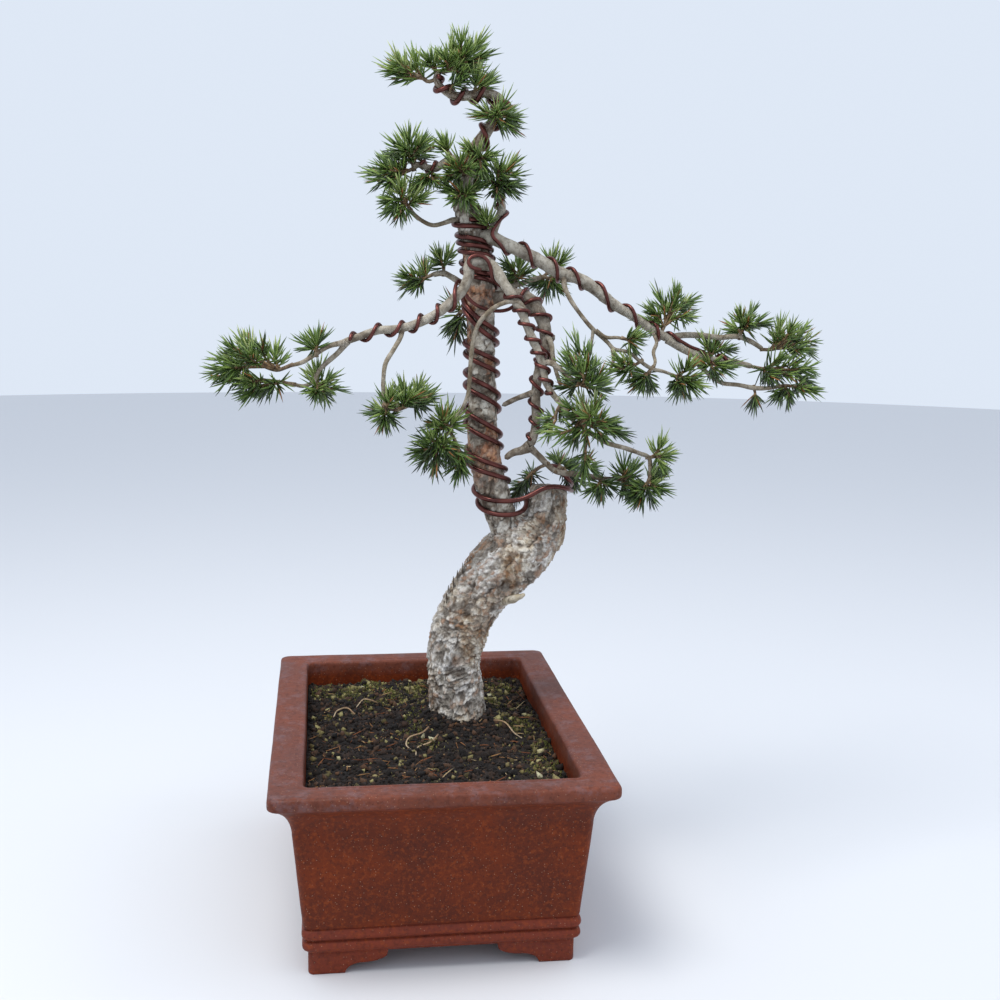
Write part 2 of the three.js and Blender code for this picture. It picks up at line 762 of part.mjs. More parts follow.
// The turns of a wire round a limb, `steps` points to a turn. `fronts` lists the places, in control
// points from the limb's root, at which the wire crosses the side that faces the viewer. Going
// outwards the wire turns clockwise as seen from the limb's end, or the other way with hand -1. An
// entry may be a pair of a part-turn and its place, where a side branch makes the pitch uneven.
function coil(name, fronts, gauge, steps, lift = 0, hand = 1) {
  const points = LIMBS[name];
  const curve = new THREE.CatmullRomCurve3(points.map(vec), false, 'centripetal');
  const spans = points.length - 1;
  const marks = [];
  fronts.forEach((mark) => {
    const turn = marks.length ? Math.floor(marks.at(-1)[0] + 1) : 0;
    marks.push(Array.isArray(mark) ? mark : [turn, mark]);
  });
  const outward = Math.sign(marks.at(-1)[1] - marks[0][1]);
  const laid = [];
  for (let s = 0; s <= Math.round(marks.at(-1)[0] * steps); s++) {
    const turn = s / steps;
    const k = Math.max(1, marks.findIndex((mark) => mark[0] >= turn - 1e-9));
    const [before, after] = [marks[k - 1], marks[k]];
    const place = mix(before[1], after[1], (turn - before[0]) / (after[0] - before[0]));
    const t = THREE.MathUtils.clamp(place / spans, 0, 1);
    const span = Math.min(Math.floor(place), spans - 1);
    const radius = mix(points[span][3], points[span + 1][3], place - span);
    const along = curve.getTangent(t);
    const front = TOWARDS_VIEWER.clone();
    front.addScaledVector(along, -front.dot(along)).normalize();
    const side = along.clone().cross(front);
    const angle = -2 * Math.PI * turn * outward * hand;
    const reach = (radius + wireRoom(gauge)) / Math.cos(Math.PI / steps) + lift;
    const point = curve.getPoint(t);
    point.addScaledVector(front, reach * Math.cos(angle));
    laid.push(point.addScaledVector(side, reach * Math.sin(angle)));
  }
  return laid;
}

// Places along an upright limb at given heights.
function atHeights(name, heights) {
  const points = LIMBS[name];
  const place = (z) => {
    const i = points.findIndex((p, k) => k + 1 < points.length && points[k + 1][2] >= z);
    return i + (z - points[i][2]) / (points[i + 1][2] - points[i][2]);
  };
  return heights.map((mark) => (Array.isArray(mark) ? [mark[0], place(mark[1])] : place(mark)));
}

// The doubled wire is anchored on the stub and climbs the trunk; the heights are where each strand
// crosses the trunk's front. Both step over the root of the dark branch three quarters round.
const UPPER_STRAND_HEIGHTS = [383, 420, 458, 497, 525, 554, [5.75, 601], 606, 628, 646, 664];
const LOWER_STRAND_HEIGHTS = [369, 410, 444, 484, 515, 544, [5.75, 595], 597, 621, 636, 652];
// The upper strand's further turns, up to the apex.
const APEX_TURNS = [12.4, 13.6, 14.8, 16.3, 18.4, 20.4, 21.6, 22.8, 24.4];
const UPPER_STRAND_ANCHOR = [
  [146, 30, 389], [132, 10, 396], [117, 6, 399], [106, 7, 393], [98, 9, 384], [88, 8, 383],
];
const LOWER_STRAND_ANCHOR = [
  [124, 34, 405], [134, 16, 403], [149, 32, 396], [140, 54, 386], [118, 54, 384], [103, 32, 382],
  [98, 12, 372], [88, 7, 369],
];
// From the left branch one wire crosses the trunk's front to the dark branch.
const LEFT_TO_DARK = [
  [27, 3, 601], [31, 6, 590], [34, 14, 580], [40, 10, 573], [51, 8, 568], [63, 11, 566],
  [73, 13, 565], [83, 11, 568],
];

// The front branch's wire is hooked round the root of the left branch.
const FRONT_WIRE_HOOK = [
  [47, -9, 605], [38, -11, 603], [30, -8, 609], [34, -6, 618], [44, -8, 622], [53, -6, 620],
  [57, -5, 611], [60, -6, 602], [65, 2, 594],
];

const WIRES = {
  wire_trunk_upper_strand: {
    gauge: TRUNK_WIRE,
    route: [
      ...UPPER_STRAND_ANCHOR.map(vec),
      ...coil('upper', atHeights('upper', UPPER_STRAND_HEIGHTS), TRUNK_WIRE, 7),
      ...coil('upper', APEX_TURNS, TRUNK_WIRE, 5, 0.5).slice(3),
    ],
  },
  wire_trunk_lower_strand: {
    gauge: TRUNK_WIRE,
    route: [
      ...LOWER_STRAND_ANCHOR.map(vec),
      ...coil('upper', atHeights('upper', LOWER_STRAND_HEIGHTS), TRUNK_WIRE, 7),
    ],
  },
  wire_left_and_dark: {
    gauge: BRANCH_WIRE,
    route: [
      ...coil('left', [11.6, 10.3, 9.1, 8.2, 7.1, 6.0], BRANCH_WIRE, 5),
      ...LEFT_TO_DARK.map(vec),
      ...coil('dark', [2.2, 3.4, 4.5, 5.8, 7, 8, 9.3, 10.4, 11.4, 12.6], BRANCH_WIRE, 5).slice(1),
    ],
  },
  wire_front: {
    gauge: BRANCH_WIRE,
    route: [
      ...FRONT_WIRE_HOOK.map(vec),
      ...coil('front', [2.2, 3.2, 4, 5, 6, 7, 8, 9, 10.2], BRANCH_WIRE, 5).slice(2),
    ],
  },
  wire_right_and_upright: {
    gauge: BRANCH_WIRE,
    route: [
      ...coil('upright', [5.6, 4.2, 2.6], BRANCH_WIRE, 5, 0, -1),
      ...coil('right', [2, 3.7, 5.4, 6.9, 9.1, 11.1, 12.8, 13.8], BRANCH_WIRE, 5, 0, -1),
      ...coil('right_mid', [1.1, 2.85, 4.1], BRANCH_WIRE, 5, 0, -1).slice(3),
    ],
  },
  wire_upper_left: {
    gauge: BRANCH_WIRE,
    route: coil('upper_left', [2.3, 4.2, 5.7], BRANCH_WIRE, 5),
  },
};

const wirePieces = [];
const wiresWithAir = [];
const wires = Object.entries(WIRES).map(([name, { gauge, route }]) => {
  const laid = settle(route, gauge, [...woodPieces, ...wirePieces]);
  const stations = laid.map((p) => [p.x, p.y, p.z, gauge]);
  wirePieces.push(...pieces(stations, name));
  wiresWithAir.push(solid(stalk(grown(stations, AIR), WIRE_SIDES)));
  return [name, stalk(stations, WIRE_SIDES)];
});

// The shortest distance between two straight pieces.
function distance(p, q, r, s) {
  const u = q.clone().sub(p);
  const v = s.clone().sub(r);
  const w = p.clone().sub(r);
  const [a, b, c, d, e] = [u.dot(u), u.dot(v), v.dot(v), u.dot(w), v.dot(w)];
  const det = a * c - b * b;
  let t = det > 1e-9 ? THREE.MathUtils.clamp((b * e - c * d) / det, 0, 1) : 0;
  const k = THREE.MathUtils.clamp((b * t + e) / c, 0, 1);
  t = THREE.MathUtils.clamp((b * k - d) / a, 0, 1);
  return p.clone().addScaledVector(u, t).distanceTo(r.clone().addScaledVector(v, k));
}

// Twigs of the sprays: the stem, and a shoot to each tip. The shoots leave the outer part of the
// stem one after another, in the order in which their tips lie along it, the first of them clear of
// the wood that the stem grows from, and each ends in a needle.
const STEM_RADIUS = 2.2;
const SHOOT_ROOT = 0.9;
const SHOOT_RADIUS = 1.6;
const FIRST_SHOOT = 0.35;
const CLEAR_OF_WOOD = 4.5;
const LAST_SHOOT = 0.97;
const SHOOT_SPACING = 15.5;

function alongStem(stem, share) {
  const points = stem.map(vec);
  const lengths = points.slice(1).map((p, i) => p.distanceTo(points[i]));
  let rest = share * lengths.reduce((sum, one) => sum + one, 0);
  for (let i = 0; i < lengths.length; i++) {
    if (rest <= lengths[i] || i === lengths.length - 1) {
      return points[i].clone().lerp(points[i + 1], Math.min(rest / lengths[i], 1));
    }
    rest -= lengths[i];
  }
}

function shootsOf(name) {
  return SPRAYS[name].flatMap(({ stem, tips }) => {
    const heading = vec(stem.at(-1)).sub(vec(stem[0]));
    const first = Math.max(FIRST_SHOOT, CLEAR_OF_WOOD / heading.length());
    const apart = [];
    tips.map(vec).forEach((tip) => {
      if (apart.every((kept) => kept.distanceTo(tip) > SHOOT_SPACING)) apart.push(tip);
    });
    const order = apart.sort((p, q) => p.clone().sub(q).dot(heading));
    return order.map((tip, i) => {
      const share = order.length === 1 ? 1 : mix(first, 1, i / (order.length - 1));
      return { base: alongStem(stem, Math.min(share, LAST_SHOOT)), tip };
    });
  });
}

// Where a shoot's last needle ends.
function shootPoint({ base, tip }) {
  const heading = tip.clone().sub(base).normalize();
  return tip.clone().addScaledVector(heading, NEEDLE_LENGTH * SHORTEST_NEEDLE);
}

function stemStations({ stem }) {
  return stem.map((p, i) => [...p, mix(STEM_RADIUS, SHOOT_RADIUS, i / (stem.length - 1))]);
}

const twigPieces = Object.keys(SPRAYS).flatMap((name) => [
  ...SPRAYS[name].flatMap((bough) => pieces(stemStations(bough), name)),
  ...shootsOf(name).map((shoot, number) => ({
    owner: name,
    shoot: number,
    a: shoot.base,
    b: shootPoint(shoot),
    ra: SHOOT_RADIUS,
    rb: 0,
  })),
]);

// Whether a needle keeps clear of the wood, the wires and every other spray and shoot.
const needlePieces = [];

function clearOfOthers(name, number, root, point) {
  const middle = root.clone().add(point).multiplyScalar(0.5);
  return [...woodPieces, ...wirePieces, ...twigPieces, ...needlePieces].every((piece) => {
    const own = piece.owner === name;
    if (own && piece.shoot === number) return true;
    const near = Math.min(piece.a.distanceTo(middle), piece.b.distanceTo(middle));
    if (near > NEEDLE_LENGTH + piece.a.distanceTo(piece.b)) return true;
    const room = Math.max(piece.ra, piece.rb) + (own ? OWN_NEEDLE_ROOM : NEEDLE_ROOM);
    return distance(root.clone().lerp(point, own ? 0.15 : 0.02), point, piece.a, piece.b) > room;
  });
}

// A shoot has three flat sides. Near its tip each of the triangles of its skin is drawn out into a
// needle, two to a side, one spread wide and one leaning forward, and the shoot ends in one more.
function shootSolid(name, shoot, number) {
  const { base, tip } = shoot;
  const along = tip.clone().sub(base).normalize();
  const across = startAcross(along).applyAxisAngle(along, number * GOLDEN_ANGLE);
  const other = along.clone().cross(across);
  const zone = Math.max(0.3, 1 - NEEDLE_ZONE / tip.distanceTo(base));
  const stations = [
    [base, SHOOT_ROOT],
    [base.clone().lerp(tip, zone), SHOOT_RADIUS],
    [tip, SHOOT_RADIUS * 0.8],
  ];
  const spread = (angle, lean) => along.clone().multiplyScalar(Math.cos(lean))
    .addScaledVector(across, Math.sin(lean) * Math.cos(angle))
    .addScaledVector(other, Math.sin(lean) * Math.sin(angle));
  const points = stations.flatMap(([centre, radius]) => [0, 1, 2].map((corner) => (
    centre.clone().addScaledVector(spread((2 * Math.PI * corner) / 3, Math.PI / 2), radius))));
  const index = [0, 2, 1];

  const drawOut = (corners, heading) => {
    const [first, second, third] = corners.map((i) => points[i]);
    const middle = first.clone().add(second).add(third).divideScalar(3);
    const chance = ((number * 7 + points.length * 3) % 10) / 9;
    const reach = NEEDLE_LENGTH * mix(SHORTEST_NEEDLE, LONGEST_NEEDLE, chance);
    const point = middle.clone().addScaledVector(heading, reach);
    if (!clearOfOthers(name, number, middle, point)) {
      index.push(...corners);
      return;
    }
    needlePieces.push({
      owner: name,
      shoot: number,
      a: middle.clone().lerp(point, 0.15),
      b: point,
      ra: NEEDLE_RADIUS,
      rb: 0,
    });
    points.push(point);
    const apex = points.length - 1;
    corners.forEach((corner, i) => index.push(corner, corners[(i + 1) % 3], apex));
  };

  for (let side = 0; side < 3; side++) {
    const next = (side + 1) % 3;
    const facing = (2 * Math.PI * (side + 0.5)) / 3;
    index.push(side, next, 3 + next, side, 3 + next, 3 + side);
    drawOut([3 + side, 3 + next, 6 + next], spread(facing + 0.3, WIDE_LEAN + 0.12 * side));
    drawOut([3 + side, 6 + next, 6 + side], spread(facing - 0.3, FORWARD_LEAN + 0.1 * side));
  }
  drawOut([6, 7, 8], along);
  const coordinates = points.flatMap((p) => [p.x, p.y, p.z]);
  const geometry = new THREE.BufferGeometry();
  geometry.setAttribute('position', new THREE.Float32BufferAttribute(coordinates, 3));
  geometry.setIndex(index);
  return solid(geometry);
}

// The twigs of a spray with air round them: what later sprays are cut clear of.
function twigsWithAir(name) {
  const stems = SPRAYS[name].map((bough) => solid(stalk(grown(stemStations(bough), AIR), 4)));
  const shoots = shootsOf(name).map((shoot) => (
    solid(stalk(grown([[...shoot.base, SHOOT_RADIUS], [...shootPoint(shoot), 0.3]], 2 * AIR), 3))));
  return join([...stems, ...shoots]);
}

const settled = [...wiresWithAir];

function spraySolid(name) {
  const stems = SPRAYS[name].map((bough) => solid(stalk(stemStations(bough), 4)));
  const shoots = shootsOf(name).map((shoot, number) => shootSolid(name, shoot, number));
  let spray = join([...stems, ...shoots]).subtract(woodWithAir);
  for (const other of settled) {
    if (spray.intersect(other).volume() > 0) spray = spray.subtract(other);
  }
  settled.push(twigsWithAir(name));
  return largest(spray);
}

// A rounded rectangle, inset from the rim's outline, at height z.
function outline(inset, corner, z, segments = 2) {
  const halfWidth = RIM_WIDTH / 2 - inset - corner;
  const halfLength = RIM_LENGTH / 2 - inset - corner;
  const ring = [];
  for (const [sx, sy, turn] of [[1, 1, 0], [-1, 1, 1], [-1, -1, 2], [1, -1, 3]]) {
    for (let k = 0; k <= segments; k++) {
      const angle = (Math.PI / 2) * (turn + k / segments);
      ring.push([
        sx * halfWidth + corner * Math.cos(angle),
        sy * halfLength + corner * Math.sin(angle),
        z,
      ]);
    }
  }
  return ring;
}

// The pot's wall in section, from the middle of the underside out and up, over the rim and down
// inside to the floor: inset, corner radius, height.
const POT_SECTION = [
  [FOOT_INSET, 6, POT_UNDERSIDE],
  [28.6, 8, 23],
  [27.6, 8, 27],
  [28.6, 8, 31],
  [31, 7, 32.5],
  [28.2, 8, 34.5],
  [27.2, 8, 38],
  [28.2, 8, 42],
  [BODY_INSET + 2, 7, 44],
  [COVE_INSET, 8, 132],
  [16, 9, 145],
  [8, 9, 156],
  [2, 9, POT_HEIGHT - LIP],
  [0, 9, POT_HEIGHT - LIP + 4],
  [0, 9, POT_HEIGHT - 4],
  [2.5, 9, POT_HEIGHT],
  [RIM_FLAT - 1.5, 9, POT_HEIGHT],
  [RIM_FLAT, 9, POT_HEIGHT - 2],
  [RIM_FLAT + 2, 10, 120],
  [RIM_FLAT + 10, 14, FLOOR_TOP],
];

// One side's tunnel between two feet: an arch with ogee shoulders.
function tunnel(halfFoot, halfTop, length) {
  const shape = new THREE.Shape();
  const step = (halfFoot - halfTop) / 2;
  shape.moveTo(-halfFoot, -1);
  shape.lineTo(-halfFoot, 0);
  shape.quadraticCurveTo(-halfFoot + 4, 7, -halfFoot + step, 9);
  shape.quadraticCurveTo(-halfTop - 3, 11, -halfTop, 17);
  shape.lineTo(-halfTop + 4, POT_UNDERSIDE + 4);
  shape.lineTo(halfTop - 4, POT_UNDERSIDE + 4);
  shape.lineTo(halfTop, 17);
  shape.quadraticCurveTo(halfTop + 3, 11, halfFoot - step, 9);
  shape.quadraticCurveTo(halfFoot - 4, 7, halfFoot, 0);
  shape.lineTo(halfFoot, -1);
  const geometry = new THREE.ExtrudeGeometry(shape, {
    depth: length,
    bevelEnabled: false,
    curveSegments: 3,
  });
  geometry.translate(0, 0, -length / 2);
  geometry.rotateX(Math.PI / 2);
  return geometry;
}

function potSolid() {
  const body = solid(skin(POT_SECTION.map(([inset, corner, z]) => outline(inset, corner, z))));
  const inner = FOOT_INSET + FOOT_THICKNESS;
  const feetRing = solid(skin([
    outline(FOOT_INSET, 6, 0),
    outline(FOOT_INSET, 6, POT_UNDERSIDE + 3),
    outline(inner, 3, POT_UNDERSIDE + 3),
    outline(inner, 3, 0),
  ], true));
  const across = solid(tunnel(END_TUNNEL_FOOT, END_TUNNEL_TOP, RIM_LENGTH));
  const sideTunnel = tunnel(SIDE_TUNNEL_FOOT, SIDE_TUNNEL_TOP, RIM_WIDTH);
  const along = solid(sideTunnel.rotateZ(Math.PI / 2));
  const drains = [-1, 1].map((side) => {
    const drain = new THREE.CylinderGeometry(DRAIN_RADIUS, DRAIN_RADIUS, 4 * POT_UNDERSIDE, 12);
    return solid(drain.rotateX(Math.PI / 2).translate(0, side * DRAIN_OFFSET, POT_UNDERSIDE));
  });
  const cup = drains.reduce((pot, drain) => pot.subtract(drain), body);
  return cup.add(feetRing.subtract(across).subtract(along));
}

// The soil's surface: a mound round the trunk that levels out towards the walls.
function soilHeight(x, y, share) {
  const fromTrunk = Math.hypot(x - MOUND_CENTRE[0], y - MOUND_CENTRE[1]);
  const mound = SOIL_MOUND * Math.exp(-((fromTrunk / MOUND_REACH) ** 2));
  const ripple = 1.6 * Math.sin(x * 0.09 + 1) * Math.cos(y * 0.07);
  return SOIL_EDGE + (1 - share ** 4) * (mound + ripple + 3);
}

// The soil fills the pot with a little air at the walls and the floor, and the trunk stands in it.
function soilSolid() {
  const wall = RIM_FLAT + GAP * 1.5;
  const rings = [outline(wall + 10, 14, FLOOR_TOP + GAP), outline(wall + 2, 10, 120)];
  for (const share of [1, 0.86, 0.7, 0.5, 0.3, 0.1]) {
    const edge = outline(wall + 1.4, 9.5, 0);
    rings.push(edge.map(([x, y]) => [
      x * share,
      y * share,
      soilHeight(x * share, y * share, share),
    ]));
  }
  return largest(solid(skin(rings)).subtract(woodWithAir));
}

function material(colour, roughness, metalness = 0) {
  return new THREE.MeshStandardMaterial({ color: colour, roughness, metalness });
}

const clay = material(0x7a3f2e, 0.75);
const peat = material(0x2a211b, 1);
const oldBark = material(0x8f8577, 0.95);
const anodised = material(0x4c2420, 0.35, 0.9);
const freshNeedles = material(0x52703a, 0.6);

const plant = new THREE.Group();
plant.position.x = -POT_OFF_CENTRE;

function add(name, geometry, finish) {
  const mesh = new THREE.Mesh(geometry, finish);
  mesh.name = name;
  plant.add(mesh);
}

add('pot', geometryOf(potSolid()), clay);
add('soil', geometryOf(soilSolid()), peat);
add('wood', geometryOf(wood), oldBark);
wires.forEach(([name, geometry]) => add(name, geometry, anodised));
Object.keys(SPRAYS).forEach((name) => add(`spray_${name}`, geometryOf(spraySolid(name)), freshNeedles));

const bonsai = new THREE.Group();
bonsai.add(plant);
export default bonsai;
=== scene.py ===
# A scots pine bonsai, trained with wire, in its rectangular clay pot. The script follows the tree as it
# is put together: the view of it, the pot, the soil, the wood, the training wires and the needles.
# Lists of places hold millimetres from the middle of the pot's foot; x to the right, y away, z up.
import math
from itertools import accumulate

import bpy
import numpy as np
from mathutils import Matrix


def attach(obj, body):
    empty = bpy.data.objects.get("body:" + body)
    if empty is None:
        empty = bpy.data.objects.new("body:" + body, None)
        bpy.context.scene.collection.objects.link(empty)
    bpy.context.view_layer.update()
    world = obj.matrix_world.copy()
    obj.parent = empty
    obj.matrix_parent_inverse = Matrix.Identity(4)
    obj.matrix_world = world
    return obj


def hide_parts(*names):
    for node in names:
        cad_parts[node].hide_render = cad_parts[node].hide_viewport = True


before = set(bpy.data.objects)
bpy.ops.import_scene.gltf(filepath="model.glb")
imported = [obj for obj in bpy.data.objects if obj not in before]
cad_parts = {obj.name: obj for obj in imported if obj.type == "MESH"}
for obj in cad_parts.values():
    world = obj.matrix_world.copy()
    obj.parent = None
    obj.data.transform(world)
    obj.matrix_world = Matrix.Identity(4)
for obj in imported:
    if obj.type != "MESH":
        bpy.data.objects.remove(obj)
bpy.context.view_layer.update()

# THE VIEW. The tree is looked at from in front of the pot's short side, a little from the left and
# from above. The pot's middle stands 105 mm left of the middle of the whole.
POT_OFF_CENTRE = 105
EYE = (-101.5, -1233.3, 590)
TURNED_RIGHT = 0.1376
LOOKING_DOWN = 0.1631
LEANING = 0.0147
LENS = 46.75
FILM = 36


def in_metres(places):
    """Places in millimetres from the pot's middle, as metres from the middle of the whole."""
    return (np.asarray(places, float) - (POT_OFF_CENTRE, 0, 0)) / 1000


def unit(vectors):
    """Vectors brought to a length of one."""
    return vectors / np.linalg.norm(vectors, axis=-1, keepdims=True)


def stand_up(thing, aside, upwards, place):
    """Links a camera or lamp at a place in metres, its right side and its top in given directions."""
    bpy.context.scene.collection.objects.link(thing)
    stand = np.eye(4)
    stand[:3, :3] = np.stack([aside, upwards, np.cross(aside, upwards)], -1)
    stand[:3, 3] = place
    thing.matrix_world = stand.T.tolist()


ahead = np.array([
    math.sin(TURNED_RIGHT) * math.cos(LOOKING_DOWN),
    math.cos(TURNED_RIGHT) * math.cos(LOOKING_DOWN),
    -math.sin(LOOKING_DOWN),
])
level = np.array([math.cos(TURNED_RIGHT), -math.sin(TURNED_RIGHT), 0])
upright = np.cross(level, ahead)
rightward = math.cos(LEANING) * level + math.sin(LEANING) * upright
upward = math.cos(LEANING) * upright - math.sin(LEANING) * level
camera_data = bpy.data.cameras.new("camera")
camera_data.lens = LENS
camera_data.sensor_width = FILM
camera = bpy.data.objects.new("camera", camera_data)
stand_up(camera, rightward, upward, in_metres(EYE))
bpy.context.scene.camera = camera
bpy.context.scene.view_settings.view_transform = "Standard"

# THE LIGHT. A bright overcast sky all round, a broad soft lamp above and in front on the left, and a
# weak one on the right.
SKY = (0.80, 0.88, 1.0, 1)
SKY_STRENGTH = 0.92
LAMPS = {
    "lamp_above": ((-0.7, -0.5, 2.2), 32, (1.0, 0.985, 0.95)),
    "lamp_right": ((1.7, -0.2, 1.9), 6, (0.95, 0.97, 1.0)),
}
LAMP_SIZE = 1.0
LIT_PLACE = (0.05, 0, 0.4)
world = bpy.data.worlds.new("sky")
world.use_nodes = True
world.node_tree.nodes["Background"].inputs["Color"].default_value = SKY
world.node_tree.nodes["Background"].inputs["Strength"].default_value = SKY_STRENGTH
bpy.context.scene.world = world
for lamp_name, (lamp_at, lamp_power, lamp_colour) in LAMPS.items():
    lamp_data = bpy.data.lights.new(lamp_name, "AREA")
    lamp_data.size = LAMP_SIZE
    lamp_data.energy = lamp_power
    lamp_data.color = lamp_colour
    lamp = bpy.data.objects.new(lamp_name, lamp_data)
    towards = unit(np.subtract(LIT_PLACE, lamp_at))
    aside = unit(np.cross(towards, (0, 0, 1)))
    stand_up(lamp, aside, np.cross(aside, towards), lamp_at)
    lamp.visible_camera = False


# THE TABLE TOP. A plain pale surface, matt, that everything stands on. Its finish and its mesh are made
# with the same few tools as those of the pieces after it.
class Figure:
    """A socket of a finish. An expression on Figures adds its Math nodes."""

    def __init__(self, finish, socket):
        self.finish = finish
        self.socket = socket

    def maths(self, operation, *others):
        return self.finish.node("Math", {"operation": operation}, dict(enumerate((self, *others))))

    def __add__(self, other):
        return self.maths("ADD", other)

    def __mul__(self, other):
        return self.maths("MULTIPLY", other)

    def __rsub__(self, other):
        return self * -1 + other

    __radd__ = __add__
    __rmul__ = __mul__


class Finish:
    """A material: node() adds one node of a type, with its settings and its sockets' values or links."""

    def __init__(self, name):
        self.material = bpy.data.materials.new(name)
        self.material.use_nodes = True
        self.tree = self.material.node_tree
        self.tree.nodes.clear()

    def node(self, kind, settings, sockets, output=0):
        made = self.tree.nodes.new("ShaderNode" + kind)
        for key, value in settings.items():
            setattr(made, key, value)
        for key, value in sockets.items():
            if isinstance(value, Figure):
                self.tree.links.new(value.socket, made.inputs[key])
            else:
                made.inputs[key].default_value = value
        return Figure(self, made.outputs[output]) if made.outputs else None

    def place(self, *stretch):
        """The place on the piece in metres, drawn out along the axes by a stretch of three."""
        found = self.node("TexCoord", {}, {}, "Object")
        if stretch:
            found = self.node("Mapping", {}, {"Vector": found, "Scale": stretch})
        return found

    def shifted(self, place, *shift):
        """A place moved on, so that a noise there is unlike the same noise elsewhere."""
        return self.node("Mapping", {}, {"Vector": place, "Location": shift})

    def paint(self, output="Color"):
        """The figures painted on the piece's points: its colour, or its fourth figure as Alpha."""
        return self.node("Attribute", {"attribute_name": "paint"}, {}, output)

    def cloud(self, size, place, detail=3, rough=0.55):
        """Noise whose patches are about `size` millimetres across, 0 to 1."""
        return self.node("TexNoise", {}, {
            "Vector": place, "Scale": 500 / size, "Detail": detail, "Roughness": rough})

    def specks(self, size, place):
        """Distance from the nearest of scattered points `size` millimetres apart, 0 to about 1."""
        return self.node("TexVoronoi", {}, {"Vector": place, "Scale": 1000 / size})

    def between(self, figure, low, high, start=0, end=1):
        """`start` where the figure is below `low`, `end` above `high`, and smooth in between."""
        return self.node("MapRange", {"interpolation_type": "SMOOTHSTEP"}, {
            "Value": figure, 1: low, 2: high, 3: start, 4: end})

    def blend(self, share, first, second):
        """The first colour where the share is 0, the second where it is 1."""
        return self.node("Mix", {"data_type": "RGBA"}, {0: share, 6: first, 7: second}, 2)

    def layered(self, base, *layers):
        """A base colour with others laid over it in turn, each one a share and a colour."""
        for share, over in layers:
            base = self.blend(share, base, over)
        return base

    def bump(self, height, depth, strength=1.0):
        """Normals for a relief of `depth` millimetres."""
        return self.node("Bump", {}, {
            "Height": height, "Distance": depth / 1000, "Strength": strength})

    def surface(self, **sockets):
        """The shader itself, with its sockets named as Blender names them."""
        shader = self.node("BsdfPrincipled", {}, {
            key.replace("_", " "): value for key, value in sockets.items()})
        self.node("OutputMaterial", {}, {"Surface": shader})
        return self.material


def colour(red, green, blue):
    """A colour that looks like these screen values, 0 to 255, as the shader wants it."""
    share = np.array([red, green, blue]) / 255
    light = np.where(share > 0.04045, ((share + 0.055) / 1.055) ** 2.4, share / 12.92)
    return (*light.tolist(), 1)


def stitch(name, shells, finishes):
    """One mesh object out of closed shells. A shell is a tuple of its points in millimetres, a list of
    face arrays (rows of three or four point numbers), a row of four figures per point for the finish
    to read, and the number of its finish. The points of each shell are numbered on after the last."""
    points = np.concatenate([shell[0] for shell in shells])
    paint = np.concatenate([shell[2] for shell in shells])
    first = np.cumsum([0] + [len(shell[0]) for shell in shells])
    corners = []
    sizes = []
    finish_of = []
    for shell, offset in zip(shells, first):
        for faces in shell[1]:
            corners.append((faces + offset).ravel())
            sizes.append(np.full(len(faces), faces.shape[1]))
            finish_of.append(np.full(len(faces), shell[3]))
    corners = np.concatenate(corners).astype(np.int32)
    sizes = np.concatenate(sizes)
    mesh = bpy.data.meshes.new(name)
    mesh.vertices.add(len(points))
    mesh.vertices.foreach_set("co", in_metres(points).ravel())
    mesh.loops.add(len(corners))
    mesh.loops.foreach_set("vertex_index", corners)
    mesh.polygons.add(len(sizes))
    mesh.polygons.foreach_set("loop_start", (np.cumsum(sizes) - sizes).astype(np.int32))
    mesh.polygons.foreach_set("material_index", np.concatenate(finish_of).astype(np.int32))
    mesh.polygons.foreach_set("use_smooth", np.ones(len(sizes), bool))
    mesh.update(calc_edges=True)
    mesh.attributes.new("paint", "FLOAT_COLOR", "POINT").data.foreach_set("color", paint.ravel())
    for finish in finishes:
        mesh.materials.append(finish)
    piece = bpy.data.objects.new(name, mesh)
    bpy.context.scene.collection.objects.link(piece)
    return piece


def circle(sides, radius):
    """Points round a level circle about the pot's middle."""
    turn = np.linspace(0, 2 * np.pi, sides, endpoint=False)
    return np.stack([np.cos(turn), np.sin(turn), 0 * turn], -1) * radius


TABLE_REACH = 6000
TABLE_SIDES = 96
table_finish = Finish("table_top").surface(Base_Color=colour(220, 221, 224), Roughness=0.9)
table_shell = (circle(TABLE_SIDES, TABLE_REACH) + (POT_OFF_CENTRE, 0, 0),
               [np.arange(TABLE_SIDES)[None, :]], np.zeros((TABLE_SIDES, 4)), 0)
table = stitch("table_top", [table_shell], [table_finish])

# THE POT. One piece of red clay, pressed in a mould and fired without a glaze: a flat rim with a
# rounded lip, a cove under it, leaning walls, two half-round beads and four feet with ogee sides. It is
# darker and browner on the walls, the rim is a paler, pinker brown, and patches of painted bluish sheen lie
# on the rim.
RIM_WIDTH = 300
RIM_LENGTH = 428
POT_HEIGHT = 173
POT_UNDERSIDE = 20
POT_FLOOR = 34
FOOT_INSET = 33
FOOT_CORNER = 6
FOOT_ENDS_ACROSS = (85, 48)
FOOT_ENDS_ALONG = (130, 90)
FOOT_STEP = 9
DRAIN_RADIUS = 11
DRAIN_OFFSET = 95
DRAIN_SIDES = 32
DRILLED_HEIGHTS = (10, 60)
STRAIGHT_STEPS = 44
CORNER_STEPS = 9


